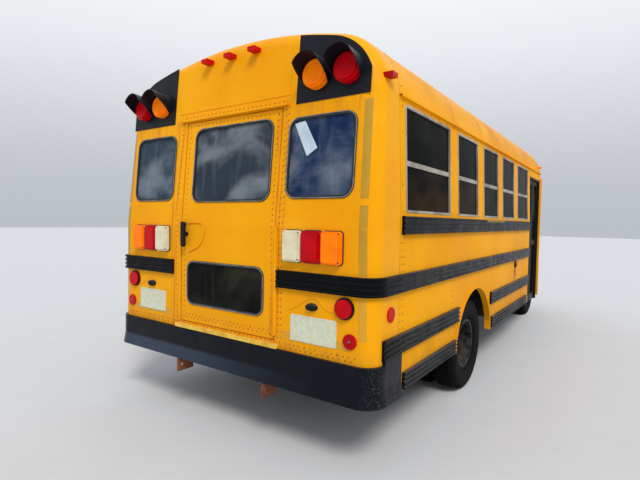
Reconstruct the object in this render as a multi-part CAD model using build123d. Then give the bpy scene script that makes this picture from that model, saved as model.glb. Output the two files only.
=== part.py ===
from build123d import *
from math import asin, cos, hypot, radians, sin, sqrt, tan
import os

# A short school bus: a boxy steel passenger body on a van chassis with the van's own nose.
# X points forward, Y to the bus's left, Z up, and the ground is Z = 0. While the pieces are
# made, X = 0 is the rear wall; at the end all of them move so that X = 0 is mid-length.
# All sizes are in millimetres, angles in degrees.

# Clearances between pieces
FIT = 0.5
SEAT_GAP = 0.3
RUN_GAP = 6.0
DOOR_SWING_GAP = 12.0
SINK = 3.0
BEYOND = 200.0

# Heights that stand on each other: tyre, frame rails, floor, belt, windows, eaves, roof
TYRE_R = 405.0
AXLE_TO_RAIL = 125.0
RAIL_H = 170.0
SILL_H = 55.0
FLOOR_T = 45.0
BELT_RISE = 720.0
SASH_H = 670.0
SILL_TO_SASH = 30.0
HEADER_H = 50.0
ROOF_RISE = 482.0
SKIRT_Z = 430.0
RAIL_Z = (TYRE_R + AXLE_TO_RAIL, TYRE_R + AXLE_TO_RAIL + RAIL_H)
FLOOR_LOW = RAIL_Z[1] + SILL_H
FLOOR_TOP = FLOOR_LOW + FLOOR_T
BELT_Z = FLOOR_TOP + BELT_RISE
KNEE_Z = BELT_Z - 70.0
SASH_Z = (BELT_Z + SILL_TO_SASH, BELT_Z + SILL_TO_SASH + SASH_H)
EAVE_Z = SASH_Z[1] + HEADER_H
ROOF_Z = EAVE_Z + ROOF_RISE
CAP_BASE_Z = EAVE_Z - 90.0

# Shell of the passenger body
HALF_WIDTH = 1219.0
WALL = 45.0
TUMBLE = 2.1
CROWN_R = 3500.0
EAVE_R = 420.0
REAR_LEAN = 4.7
CORNER_R = 110.0
REAR_SEAM = 310.0
INNER_Y = HALF_WIDTH - WALL
OUTSIDE_Y = HALF_WIDTH + BEYOND

# Lengths that follow each other: windows with their pillars, entry door, cab, nose
WINDOW_START = 76.0
WINDOW_WIDTHS = [831.0, 572.0, 566.0, 579.0, 654.0]
PILLAR_W = 180.0
LAST_PILLAR_W = 132.0
ENTRY_W = 800.0
REAR_JAMB_W = 10.0
FRONT_JAMB_W = 40.0
CAP_DEPTH = 140.0
CAP_RAKE = 280.0
CAP_TO_SEAM = 450.0
DRIVER_REAR_W = 60.0
DRIVER_W = 870.0
FENDER_STEP = 70.0
COWL_LENGTH = 380.0
SCREEN_RUN = 430.0
AXLE_AFTER_COWL = 18.0
FRONT_OVERHANG = 752.0
SIDE_WINDOWS = []
window_x = REAR_SEAM + WINDOW_START
for width in WINDOW_WIDTHS:
    SIDE_WINDOWS.append((window_x, window_x + width))
    window_x += width + PILLAR_W
CAB_REAR = SIDE_WINDOWS[-1][1] + LAST_PILLAR_W
ENTRY_X = (CAB_REAR + REAR_JAMB_W, CAB_REAR + REAR_JAMB_W + ENTRY_W)
SIDE_END = ENTRY_X[1] + FRONT_JAMB_W
BODY_FRONT = SIDE_END + CAP_DEPTH
ROOF_SEAM = BODY_FRONT - CAP_TO_SEAM
DRIVER_X = (CAB_REAR + DRIVER_REAR_W, CAB_REAR + DRIVER_REAR_W + DRIVER_W)
FENDER_REAR = BODY_FRONT + FENDER_STEP
COWL_X = FENDER_REAR + COWL_LENGTH
FRONT_AXLE_X = COWL_X + AXLE_AFTER_COWL
NOSE_FACE_X = FRONT_AXLE_X + FRONT_OVERHANG

# Side windows
MEET_RISE = 310.0
MEET_H = 32.0
SASH_W = 18.0
SASH_R = 26.0
SASH_PROUD = 3.0
SASH_DEPTH = 37.0
GLASS_T = 6.0
GASKET_W = 18.0
GASKET_PROUD = 6.0
GASKET_DEPTH = 24.0

# Rear emergency door: the panel, its windows as (y0, y1, z0, z1, radius), hinge and lever
DOOR_Y = (-490.0, 430.0)
DOOR_Z = (FLOOR_TOP - 80.0, EAVE_Z - 60.0)
DOOR_T = 32.0
DOOR_POST_W = 78.0
DOOR_POST_T = 4.0
DOOR_WINDOWS = [
    (DOOR_Y[0] + 60, DOOR_Y[1] - 90, KNEE_Z + 160, DOOR_Z[1] - 50, 80.0),
    (DOOR_Y[0] + 90, DOOR_Y[1] - 60, DOOR_Z[0] + 130, DOOR_Z[0] + 460, 70.0),
]
REAR_WINDOW = (-DOOR_Y[0] + 66, HALF_WIDTH - 159, KNEE_Z + 175, EAVE_Z - 130, 80.0)
HINGE_R = 9.0
HINGE_LIFT = 30.0
HINGE_LEAF_T = 6.0
LEVER_Y = DOOR_Y[1] - 55.0
LEVER_Z = (KNEE_Z - 166, KNEE_Z + 19)
LEVER_W = 26.0
LEVER_REACH = 50.0
GUTTER = (-545.0, 505.0, 26.0, 16.0)

# Entry door on the right: frame, two leaves and steps
ENTRY_Z = (SKIRT_Z - 50, CAP_BASE_Z - 30)
ENTRY_FRAME = 28.0
ENTRY_RECESS = 50.0
LEAF_T = 30.0
LEAF_FRAME = 60.0
LEAF_SEAM = 16.0
LEAF_SPLIT_RISE = 850.0
LEAF_PANES = (90.0, 60.0)
PIVOT_R = 6.4
STEP_T = 12.0
STEP_RISE = 20.0
STEP_TREAD = 350.0
STEP_TO_RAIL = 70.0

# Cab and driver's door on the left
CAB_HALF = 1000.0
CAB_BELT_Z = FLOOR_TOP + 545.0
CAB_LEAN = 4.8
CAB_T = 40.0
CAB_SILL_Z = FLOOR_TOP - 260.0
COWL_Z = CAB_BELT_Z - 15.0
SCREEN_TOP_Z = CAP_BASE_Z - 60.0
SCREEN_EDGE = (120.0, 200.0)
SCREEN_Z = (CAB_BELT_Z + 40, SCREEN_TOP_Z - 60)
DRIVER_Z = (CAB_SILL_Z + 60, CAP_BASE_Z - 100)
DRIVER_GLASS = (80.0, 90.0, CAB_BELT_Z + 40, CAP_BASE_Z - 170)
LIGHT_X = (FENDER_REAR - 55, FENDER_REAR + 265)
LIGHT_Z = (CAB_BELT_Z + 60, CAP_BASE_Z - 190)
SCREEN_DEPTH = 12.0
LIGHT_DEPTH = 14.0

# Van nose: hood line, round corners, grille and headlamps
NOSE_BOTTOM_Z = CAB_SILL_Z + 60
NOSE_T = 25.0
SHOULDER_R = 70.0
HOOD_BREAK = (NOSE_FACE_X - 150, COWL_Z - 150)
BROW = (55.0, 70.0)
NOSE_EDGE_Z = HOOD_BREAK[1] - 195.0
NOSE_CORNER = (430.0, 300.0)
HOOD_HALF = CAB_HALF - 240.0
HOOD_LIP = 12.0
LAMP_Y = (CAB_HALF - 400, CAB_HALF - 150)
LAMP_Z = (HOOD_BREAK[1] - 350, HOOD_BREAK[1] - 140)
LAMP_DEPTH = 110.0
GRILLE_HALF = LAMP_Y[0] - 30.0
GRILLE_Z = (HOOD_BREAK[1] - 380, HOOD_BREAK[1] - 120)
GRILLE_BARS = 7
GRILLE_T = 32.0
GRILLE_EDGE = 12.0
HOOD_PIVOT_R = 6.0
HINGE_YS = (-540.0, 460.0)
HINGE_W = 80.0

# Running gear
REAR_AXLE_X = 1885.0
TYRE_W = 235.0
RIM_R = 208.0
DUAL_Y = (1070.0, 800.0)
FRONT_WHEEL_Y = 870.0
KINGPIN_Y = 780.0
ARCH_AHEAD = 65.0
ARCH_HALF = 515.0
ARCH_ROOM = 94.0
ARCH_SIDE_Z = 520.0
ARCH_LIP_W = 20.0
ARCH_LIP_T = 10.0
FRONT_ARCH_ROOM = 85.0
HOUSE_ROOM = 56.0
HOUSE_T = 14.0
ARCH_X = REAR_AXLE_X + ARCH_AHEAD
ARCH_TOP_Z = 2 * TYRE_R + ARCH_ROOM
FRONT_ARCH_R = TYRE_R + FRONT_ARCH_ROOM
RAIL_Y = (390.0, 470.0)
CROSS_W = 60.0
CROSS_Z = (RAIL_Z[0] + 30, RAIL_Z[0] + 110)
SILL_START = 180.0
SILL_PITCH = 480.0
SILL_W = 40.0
TUBE_R = 52.0
DIFF_R = 155.0
SPINDLE_R = 36.0
SPINDLE_FIT = 0.05
SPRING_Y = (528.0, 592.0)
SPRING_HALF = 650.0
SPRING_RISE = 135.0
SPRING_T = 45.0
SHAFT_R = 38.0
PIPE_R = 28.0
PIPE_Y = 250.0
MUFFLER = (3000.0, 620.0, 85.0)
EYE_HALF = 35.0
EYE_R = 36.0
PIN_R = 16.0
PIN_OUT = 30.0
COIL_R = 55.0
HUB_R = 78.0
HAND_HOLES = (6, 152.0, 20.0)

# Rub rails as (lowest, highest), all with raised ribs, and the roof's drip rail
SILL_RAIL = (BELT_Z - 104, BELT_Z + 10)
SEAT_RAIL = (FLOOR_TOP + 263, FLOOR_TOP + 376)
FLOOR_RAIL = (FLOOR_TOP - 110, FLOOR_TOP + 8)
SKIRT_RAIL = (SKIRT_Z + 14, SKIRT_Z + 122)
RAIL_PROUD = 24.0
RIB_DEPTH = 9.0
RIBS = (0, 2, 4, 6)
RIB_PITCHES = 7
SEAT_RAIL_END = 520.0
DRIP_PROUD = 18.0
DRIP_Z = (EAVE_Z - 20, EAVE_Z - 7)

# Bumpers
BUMPER_H = 236.0
BUMPER_Z = (SKIRT_Z, SKIRT_Z + BUMPER_H)
BUMPER_REACH = 20.0
BUMPER_T = 8.0
BUMPER_END = REAR_SEAM + 24.0
FLARE_H = 92.0
FLARE_OUT = 14.0
FRONT_BUMPER_Z = (NOSE_BOTTOM_Z - 130, NOSE_BOTTOM_Z + 80)
FRONT_BUMPER_X = NOSE_FACE_X + 100.0
FRONT_BUMPER_T = 12.0

# Lamps: distances in from the body's side, heights, and sizes; tail lamps stand at shares of the
# room between the door and the corner
WARN_PANEL = (600.0, 89.0, EAVE_Z - 48)
WARN_Z = EAVE_Z + 110
FRONT_WARN_Z = EAVE_Z + 140
WARN_IN = {"amber": 463.0, "red": 238.0}
WARN_R = 88.0
WARN_DEPTH = 42.0
HOOD_R = 100.0
HOOD_T = 5.0
HOOD_LEN = 150.0
TAIL_PLACE = {"white": 0.251, "red": 0.486, "amber": 0.722}
TAIL_ROOM = HALF_WIDTH - CORNER_R + DOOR_Y[0]
TAIL_W = 0.223 * TAIL_ROOM
TAIL_Z = (SEAT_RAIL[1] + 60, SEAT_RAIL[1] + 254)
TAIL_R = 20.0
TAIL_DEPTH = (30.0, 44.0)
TAIL_STEP = 12.0
STOP_LAMP = (HALF_WIDTH - 192, SEAT_RAIL[0] - 76, 65.0)
REFLECTOR = (HALF_WIDTH - 153, BUMPER_Z[1] + 134, 45.0)
SIDE_REFLECTOR_X = 198.0
SIGN_PAD = (545.0, EAVE_Z + 20, EAVE_Z + 335)
MARKER = (65.0, EAVE_Z + 48, EAVE_Z + 76)
CLUSTER_Y = (-230.0, 0.0, 230.0)
CLUSTER_HALF = 32.0

# Benches, driver's seat, dashboard and steering wheel
BENCH_START = 420.0
BENCH_PITCH = 725.0
BENCH_COUNT = 5
AISLE_HALF = 185.0
BENCH_DEPTH = 490.0
BACK_T = 90.0
BACK_RISE = 590.0
CUSHION_T = 120.0
SEAT_RISE = 430.0
LEG_W = 25.0
POST_Y = (65.0, 95.0)
DRIVER_SEAT_X = CAB_REAR + 180.0
DRIVER_SEAT_Y = CAB_HALF - 415.0
DRIVER_SEAT_W = 510.0
WHEEL_R = 190.0
WHEEL_TILT = 50.3
DASH_Z = (CAB_BELT_Z - 50, CAB_BELT_Z - 305)
SEAT_Z = FLOOR_TOP + SEAT_RISE
BENCH_Y = (AISLE_HALF, INNER_Y - 14)

# Mirrors, stop sign and tow eyes
MIRROR_OUT = 15.0
MIRROR_POST = 20.0
MIRROR_HEAD = (130.0, 360.0, 70.0)
MIRROR_GAP = 12.0
STOP_BACK = 110.0
STOP_Z = FLOOR_TOP + 490.0
STOP_ACROSS = 450.0
STOP_T = 5.0
STOP_OUT = 58.0
STOP_PIN = (9.0, 60.7)
TOW_R = 16.0
TOW_T = 20.0
TOW_FOOT = 60.0
TOW_AT = (5.0, 375.0)

NODES = {}


def block(x0, x1, y0, y1, z0, z1):
    """A box between two corners."""
    return Pos((x0 + x1) / 2, (y0 + y1) / 2, (z0 + z1) / 2) * Box(x1 - x0, y1 - y0, z1 - z0)


def along_y(profile, y0, y1):
    """An (x, z) outline pushed along Y."""
    face = make_face(Polyline(*[(x, y0, z) for x, z in profile], close=True))
    return extrude(face, amount=y1 - y0, dir=(0, 1, 0))


def along_x(profile, x0, x1):
    """A (y, z) outline pushed along X."""
    face = make_face(Polyline(*[(x0, y, z) for y, z in profile], close=True))
    return extrude(face, amount=x1 - x0, dir=(1, 0, 0))


def along_z(profile, z0, z1):
    """An (x, y) outline pushed along Z."""
    face = make_face(Polyline(*[(x, y, z0) for x, y in profile], close=True))
    return extrude(face, amount=z1 - z0, dir=(0, 0, 1))


def rod(x, y, z, radius, length, axis):
    """A round bar that starts at a point and runs along +X, +Y or +Z."""
    plane = Plane(origin=(x, y, z), z_dir=axis)
    return extrude(plane * Circle(radius), amount=length)


def rear_pad(y0, y1, z0, z1, radius, x0, x1):
    """A rounded rectangle seen from behind, between two X planes."""
    plane = Plane(origin=(x0, (y0 + y1) / 2, (z0 + z1) / 2), x_dir=(0, 1, 0), z_dir=(1, 0, 0))
    return extrude(plane * RectangleRounded(y1 - y0, z1 - z0, radius), amount=x1 - x0)


def side_pad(x0, x1, z0, z1, radius, y0, y1):
    """A rounded rectangle seen from the right side, from y0 out to y1."""
    plane = Plane(origin=((x0 + x1) / 2, y0, (z0 + z1) / 2), x_dir=(1, 0, 0), z_dir=(0, -1, 0))
    return extrude(plane * RectangleRounded(x1 - x0, z1 - z0, radius), amount=y0 - y1)


def flip(shape):
    """The same piece on the other side of the bus."""
    return mirror(shape, about=Plane.XZ)


def join(*shapes):
    """Separate solids kept together as one node."""
    solids = []
    for shape in shapes:
        solids.extend(shape.solids())
    return Compound(children=solids)


def pair(shape):
    """A piece and its mirror image."""
    return join(shape, flip(shape))


def lean_side(shape):
    """Tilt a flat right-side piece about the belt line to lie in the upper side wall."""
    return Pos(0, -HALF_WIDTH, BELT_Z) * Rot(-TUMBLE, 0, 0) * Pos(0, HALF_WIDTH, -BELT_Z) * shape


def lean_rear(shape):
    """Tilt a flat rear piece about the knee to lie in the upper rear wall."""
    return Pos(0, 0, KNEE_Z) * Rot(0, REAR_LEAN, 0) * Pos(0, 0, -KNEE_Z) * shape


def rear_x(z):
    """Where the rear wall's outer face is at a height."""
    return max(0.0, z - KNEE_Z) * tan(radians(REAR_LEAN))


def rear_skin(y0, y1, z0, z1, depth0, depth1):
    """A layer of the rear wall between two depths from its outer face."""
    heights = [z0] + ([KNEE_Z] if z0 < KNEE_Z < z1 else []) + [z1]
    outer = [(rear_x(z) + depth0, z) for z in heights]
    inner = [(rear_x(z) + depth1, z) for z in reversed(heights)]
    return along_y(outer + inner, y0, y1)


def section(inset, low):
    """The body's cross-section: straight sides, leaning windows, round eaves, crowned roof."""
    lean = radians(TUMBLE)
    radius = EAVE_R - inset
    into = Vector(-cos(lean), -sin(lean))
    up = Vector(-sin(lean), cos(lean))
    centre = Vector(0, ROOF_Z - CROWN_R)
    start = Vector(HALF_WIDTH, BELT_Z) + into * EAVE_R
    reach = start - centre
    run = -reach.dot(up) + sqrt(reach.dot(up) ** 2 - reach.dot(reach) + (CROWN_R - EAVE_R) ** 2)
    eave = start + up * run
    out = (eave - centre).normalized()
    low_tangent = eave - into * radius
    middle = eave + (out - into).normalized() * radius
    high_tangent = centre + out * (CROWN_R - inset)
    knee = Vector(HALF_WIDTH - inset, BELT_Z - inset * tan(lean / 2))
    foot = Vector(HALF_WIDTH - inset, low)
    far = [Vector(-p.X, p.Y) for p in (foot, knee, low_tangent, middle, high_tangent)]
    outline = [
        Line(foot, knee),
        Line(knee, low_tangent),
        ThreePointArc(low_tangent, middle, high_tangent),
        ThreePointArc(high_tangent, Vector(0, ROOF_Z - inset), far[4]),
        ThreePointArc(far[4], far[3], far[2]),
        Line(far[2], far[1]),
        Line(far[1], far[0]),
        Line(far[0], foot),
    ]
    return make_face(outline)


def section_bar(inset, low, x0, x1):
    """The cross-section pushed along the body between two X planes."""
    plane = Plane(origin=(x0, 0, 0), x_dir=(0, 1, 0), z_dir=(1, 0, 0))
    return extrude(plane * section(inset, low), amount=x1 - x0)


def body_solid(inset, low):
    """The whole passenger body as one solid, pulled in by the inset."""
    solid = section_bar(inset, low, inset, BODY_FRONT - inset)
    top = ROOF_Z + BEYOND
    back = inset + (top - KNEE_Z) * tan(radians(REAR_LEAN))
    behind = [(-BEYOND, KNEE_Z), (inset, KNEE_Z), (back, top), (-BEYOND, top)]
    solid -= along_y(behind, -OUTSIDE_Y, OUTSIDE_Y)
    rise = CAP_BASE_Z - inset
    front = BODY_FRONT - inset
    tip = front - (top - rise) * CAP_RAKE / (ROOF_Z - CAP_BASE_Z)
    ahead = [(front, rise), (front + BEYOND, rise), (front + BEYOND, top), (tip, top)]
    solid -= along_y(ahead, -OUTSIDE_Y, OUTSIDE_Y)
    ends = []
    for edge in solid.edges():
        box = edge.bounding_box()
        flat = box.size.Z < 1 and box.size.Y > HALF_WIDTH and box.max.Z < EAVE_Z
        at_end = box.max.X < BEYOND or box.min.X > ROOF_SEAM
        if at_end and box.max.Z > low + 1 and not flat:
            ends.append(edge)
    return fillet(ends, CORNER_R - inset)


def plan_face(inset, x_end, z):
    """The body's plan with round rear corners, at one height."""
    width = HALF_WIDTH - inset
    radius = CORNER_R - inset
    turn = radius * (1 - sqrt(0.5))
    side = [(x_end, width), (inset + radius, width), (inset + turn, width - turn), (inset, width - radius)]
    left = [Vector(x, y, z) for x, y in side]
    right = [Vector(x, -y, z) for x, y in side]
    outline = [
        Line(left[0], left[1]),
        ThreePointArc(left[1], left[2], left[3]),
        Line(left[3], right[3]),
        ThreePointArc(right[3], right[2], right[1]),
        Line(right[1], right[0]),
        Line(right[0], left[0]),
    ]
    return make_face(outline)


def plan_solid(inset, x_end, z0, z1):
    """The body's plan as a prism from the rear to x_end."""
    return extrude(plan_face(inset, x_end, z0), amount=z1 - z0, dir=(0, 0, 1))


def plan_flare(inset0, inset1, x_end, z0, z1):
    """The body's plan growing from one inset at z0 to another at z1."""
    return loft([plan_face(inset0, x_end, z0), plan_face(inset1, x_end, z1)], ruled=True)


def wheel_arch(x, half, side_z, top_z, y0, y1):
    """A wheel arch's outline, straight at the bottom with a round top, pushed along Y."""
    foot = SKIRT_Z - BEYOND
    outline = [
        Line((x - half, y0, foot), (x - half, y0, side_z)),
        ThreePointArc((x - half, y0, side_z), (x, y0, top_z), (x + half, y0, side_z)),
        Line((x + half, y0, side_z), (x + half, y0, foot)),
        Line((x + half, y0, foot), (x - half, y0, foot)),
    ]
    return extrude(make_face(outline), amount=y1 - y0, dir=(0, 1, 0))


# Body shell, split where the real panels meet
shell = body_solid(0, SKIRT_Z) - body_solid(WALL, SKIRT_Z - BEYOND)
window_cuts = []
for x0, x1 in SIDE_WINDOWS:
    opening = side_pad(x0, x1, *SASH_Z, SASH_R, -HALF_WIDTH + 2 * WALL, -HALF_WIDTH - WALL)
    window_cuts.append(lean_side(opening))
arch = wheel_arch(ARCH_X, ARCH_HALF, ARCH_SIDE_Z, ARCH_TOP_Z, -OUTSIDE_Y, OUTSIDE_Y)
lip_y = (-HALF_WIDTH - ARCH_LIP_T, -HALF_WIDTH + SINK)
lip = wheel_arch(ARCH_X, ARCH_HALF + ARCH_LIP_W, ARCH_SIDE_Z, ARCH_TOP_Z + ARCH_LIP_W, *lip_y)
lip &= block(ARCH_X - BEYOND - ARCH_HALF, ARCH_X + BEYOND + ARCH_HALF, *lip_y, SKIRT_Z, EAVE_Z)
lip -= arch
drip = section_bar(-DRIP_PROUD, SKIRT_Z, REAR_SEAM, SIDE_END) - section_bar(SINK, SKIRT_Z, 0, BODY_FRONT)
drip &= block(REAR_SEAM, SIDE_END, -OUTSIDE_Y, 0, *DRIP_Z)
entry_cut = block(*ENTRY_X, -OUTSIDE_Y, -HALF_WIDTH + BEYOND, SKIRT_Z - BEYOND, ENTRY_Z[1])

right = shell & block(REAR_SEAM, SIDE_END, -OUTSIDE_Y, 0, SKIRT_Z, EAVE_Z)
right = right + lip - arch
right -= entry_cut
for cut in window_cuts:
    right -= cut
NODES["side_wall_right"] = right + drip

left = shell & block(REAR_SEAM, SIDE_END, 0, OUTSIDE_Y, SKIRT_Z, EAVE_Z)
left = left + flip(lip) - arch
left -= block(CAB_REAR, SIDE_END, 0, OUTSIDE_Y, SKIRT_Z, CAP_BASE_Z)
left += block(CAB_REAR - WALL, CAB_REAR, CAB_HALF - CAB_T, INNER_Y, SKIRT_Z, CAP_BASE_Z)
for cut in window_cuts:
    left -= flip(cut)
NODES["side_wall_left"] = left + flip(drip)

NODES["roof"] = shell & block(REAR_SEAM, ROOF_SEAM, -OUTSIDE_Y, OUTSIDE_Y, EAVE_Z, ROOF_Z + BEYOND)
front_cap = shell & block(ROOF_SEAM, BODY_FRONT, -OUTSIDE_Y, OUTSIDE_Y, EAVE_Z, ROOF_Z + BEYOND)
front_cap += shell & block(SIDE_END, BODY_FRONT, -OUTSIDE_Y, OUTSIDE_Y, CAP_BASE_Z, EAVE_Z)
NODES["front_cap"] = front_cap

# Rear cap with its door opening, window openings, door posts, rain gutter and raised sign panel
door_hole = (DOOR_Y[0] - RUN_GAP, DOOR_Y[1] + DOOR_SWING_GAP, DOOR_Z[0] - RUN_GAP, DOOR_Z[1] + RUN_GAP)
rear_cap = shell & block(-BEYOND, REAR_SEAM, -OUTSIDE_Y, OUTSIDE_Y, SKIRT_Z, ROOF_Z + BEYOND)
post = (door_hole[1], door_hole[1] + DOOR_POST_W, DOOR_Z[0] - 30, DOOR_Z[1] + 4)
rear_cap += rear_skin(*post, -DOOR_POST_T, SINK)
gutter_y0, gutter_y1, gutter_out, gutter_h = GUTTER
gutter_z = door_hole[3] + RUN_GAP
rear_cap += rear_skin(gutter_y0, gutter_y1, gutter_z, gutter_z + gutter_h, -gutter_out, SINK)
pad_half, pad_z0, pad_z1 = SIGN_PAD
pad = rear_skin(-pad_half, pad_half, pad_z0, pad_z1, -DOOR_POST_T, SINK)
rear_cap += pad
rear_cap -= rear_skin(*door_hole, -2 * WALL, 2 * WALL)
rear_window_cut = lean_rear(rear_pad(*REAR_WINDOW, -WALL, 2 * WALL))
rear_cap -= rear_window_cut
rear_cap -= flip(rear_window_cut)
rear_cap += block(WALL - 15, WALL, -INNER_Y, INNER_Y, SKIRT_Z, SKIRT_Z + 20)
NODES["rear_cap"] = rear_cap


def ring_frame(pad, bounds, radius, width, depth0, depth1):
    """A frame just inside an opening, made by the given pad function."""
    a0, a1, b0, b1 = bounds
    outer = pad(a0 + FIT, a1 - FIT, b0 + FIT, b1 - FIT, radius, depth0, depth1)
    shift = WALL if depth1 > depth0 else -WALL
    inner_r = max(radius - width, 8.0)
    inner = pad(a0 + width, a1 - width, b0 + width, b1 - width, inner_r, depth0 - shift, depth1 + shift)
    return outer - inner


# Side windows: aluminium sashes with a meeting rail, and two panes in each
sashes = []
panes = []
sash_out = -HALF_WIDTH - SASH_PROUD
sash_in = sash_out + SASH_DEPTH
meet_z = (SASH_Z[0] + MEET_RISE - MEET_H / 2, SASH_Z[0] + MEET_RISE + MEET_H / 2)
for x0, x1 in SIDE_WINDOWS:
    frame = ring_frame(side_pad, (x0, x1, *SASH_Z), SASH_R, SASH_W, sash_in, sash_out)
    inner_x = (x0 + SASH_W, x1 - SASH_W)
    frame += block(inner_x[0] - 2, inner_x[1] + 2, sash_out + RUN_GAP, sash_in, *meet_z)
    sashes.append(lean_side(frame))
    light = side_pad(*inner_x, SASH_Z[0] + SASH_W, SASH_Z[1] - SASH_W, SASH_R - SASH_W, sash_in, sash_out)
    pane_y = (sash_out + 14, sash_out + 14 + GLASS_T)
    panes.append(lean_side(light & block(*inner_x, *pane_y, SASH_Z[0], meet_z[0])))
    panes.append(lean_side(light & block(*inner_x, *pane_y, meet_z[1], SASH_Z[1])))
NODES["side_sashes"] = pair(join(*sashes))


def gasket_and_pane(bounds):
    """A rubber gasket and its pane for one window in the rear wall."""
    a0, a1, b0, b1, r = bounds
    gasket = ring_frame(rear_pad, (a0, a1, b0, b1), r, GASKET_W, -GASKET_PROUD, GASKET_DEPTH)
    w = GASKET_W
    pane = rear_pad(a0 + w, a1 - w, b0 + w, b1 - w, r - w, GLASS_T, 2 * GLASS_T)
    if b0 > KNEE_Z:
        return lean_rear(gasket), lean_rear(pane)
    return gasket, pane


gasket, pane = gasket_and_pane(REAR_WINDOW)
NODES["rear_window_gaskets"] = pair(gasket)
panes.append(pane)
body_panes = pair(join(*panes))

# Rear emergency door with its windows, lever handle and long hinge
rear_door = rear_skin(*DOOR_Y, *DOOR_Z, 0, DOOR_T)
door_rubber = []
door_panes = []
for bounds in DOOR_WINDOWS:
    cut = rear_pad(*bounds, -WALL, 2 * WALL)
    rear_door -= lean_rear(cut) if bounds[2] > KNEE_Z else cut
    gasket, pane = gasket_and_pane(bounds)
    door_rubber.append(gasket)
    door_panes.append(pane)
hinge_x = -HINGE_R - 3
hinge_y = DOOR_Y[0] - RUN_GAP - HINGE_R
hinge_z = (DOOR_Z[0] + HINGE_LIFT, KNEE_Z)
leaf_y = hinge_y + HINGE_R + SEAT_GAP
rear_door += block(-HINGE_LEAF_T, 0, leaf_y, DOOR_Y[0] + 20, *hinge_z)
NODES["rear_door"] = rear_door
NODES["rear_door_gaskets"] = join(*door_rubber)
NODES["rear_door_glass"] = join(*door_panes)
lever_mid = (LEVER_Z[0] + LEVER_Z[1]) / 2
lever = rod(0, LEVER_Y, lever_mid, 16, -LEVER_REACH + 12, (1, 0, 0))
lever_y = (LEVER_Y - LEVER_W / 2, LEVER_Y + LEVER_W / 2)
lever += rear_pad(*lever_y, *LEVER_Z, 12, -LEVER_REACH, -LEVER_REACH + 14)
NODES["rear_door_handle"] = lever
hinge = rod(hinge_x, hinge_y, hinge_z[0], HINGE_R, hinge_z[1] - hinge_z[0], (0, 0, 1))
hinge += block(-HINGE_LEAF_T, 0, -SEAT_RAIL_END + 1, hinge_y, *hinge_z)
NODES["rear_door_hinge"] = hinge

# Floor with the boxes over the rear wheels and the toe board, and the steps behind the entry door
step_y = -RAIL_Y[1] - STEP_TO_RAIL
riser_y = step_y - STEP_TREAD
floor_end = FENDER_REAR - 100
floor = plan_solid(WALL, CAB_REAR, FLOOR_LOW, FLOOR_TOP)
floor += block(CAB_REAR, floor_end, step_y, CAB_HALF - CAB_T, FLOOR_LOW, FLOOR_TOP)
floor += block(ENTRY_X[1] + ENTRY_FRAME, floor_end, -CAB_HALF + CAB_T, step_y, FLOOR_LOW, FLOOR_TOP)
corner = (CAB_REAR - WALL, CAB_REAR + 1, CAB_HALF - CAB_T, HALF_WIDTH)
floor -= block(*corner, FLOOR_LOW - 1, FLOOR_TOP + 1)
house_x = (ARCH_X - ARCH_HALF - 20, ARCH_X + ARCH_HALF + 20)
house_y = DUAL_Y[1] - TYRE_W / 2 - 45
house_top = ARCH_TOP_Z + HOUSE_ROOM
for side in (-1, 1):
    lo, hi = sorted((side * house_y, side * INNER_Y))
    floor += block(*house_x, lo, hi, FLOOR_LOW, house_top)
    lo, hi = sorted((side * (house_y + HOUSE_T), side * (INNER_Y + 10)))
    floor -= block(house_x[0] + HOUSE_T, house_x[1] - HOUSE_T, lo, hi, RAIL_Z[0], house_top - HOUSE_T)
dash_half = CAB_HALF - CAB_T - RUN_GAP
toe = [
    (floor_end, FLOOR_LOW), (floor_end, FLOOR_TOP), (floor_end + 160, FLOOR_TOP + 100),
    (floor_end + 160, DASH_Z[1] - 80.3), (floor_end + 200, DASH_Z[1] - 65.8), (floor_end + 200, FLOOR_TOP + 70),
]
NODES["floor"] = floor + along_y(toe, 20 - dash_half, dash_half - 20)

step_x = (ENTRY_X[0] + ENTRY_FRAME, ENTRY_X[1] - ENTRY_FRAME)
step_low = ENTRY_Z[0] + STEP_RISE
step_mid = (step_low + FLOOR_TOP) / 2
step_in = -HALF_WIDTH + ENTRY_RECESS + LEAF_T + 14
step_under = [
    (step_in, step_low - STEP_T), (riser_y + STEP_T, step_low - STEP_T),
    (riser_y + STEP_T, step_mid - STEP_T), (step_y, step_mid - STEP_T), (step_y, FLOOR_TOP),
]
step_over = [
    (step_y - STEP_T, FLOOR_TOP), (step_y - STEP_T, step_mid), (riser_y, step_mid), (riser_y, step_low),
    (step_in, step_low),
]
steps = along_x(step_under + step_over, *step_x)
well_side = step_under + [(step_in, FLOOR_TOP)]
steps += along_x(well_side, step_x[0] - STEP_T, step_x[0])
steps += along_x(well_side, step_x[1], step_x[1] + STEP_T)
NODES["stepwell"] = steps

# Entry door: a frame in the side wall and two leaves that swing out
face_y = -HALF_WIDTH + ENTRY_RECESS
frame_y = (-HALF_WIDTH + 24, face_y + LEAF_T + 10)
frame = block(ENTRY_X[0] + FIT, ENTRY_X[1] - FIT, *frame_y, ENTRY_Z[0], ENTRY_Z[1] - FIT)
frame -= block(*step_x, -OUTSIDE_Y, -HALF_WIDTH + BEYOND, ENTRY_Z[0] - 1, ENTRY_Z[1] - ENTRY_FRAME)
pivot_y = face_y - RUN_GAP
pivot_x = (step_x[0] + RUN_GAP / 2, step_x[1] - RUN_GAP / 2)
for x in pivot_x:
    frame += rod(x, pivot_y, ENTRY_Z[0], PIVOT_R, ENTRY_Z[1] - ENTRY_FRAME - ENTRY_Z[0], (0, 0, 1))
NODES["entry_frame"] = frame
leaf_z = (ENTRY_Z[0] + 4, ENTRY_Z[1] - ENTRY_FRAME - RUN_GAP)
mid_x = (ENTRY_X[0] + ENTRY_X[1]) / 2
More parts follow.
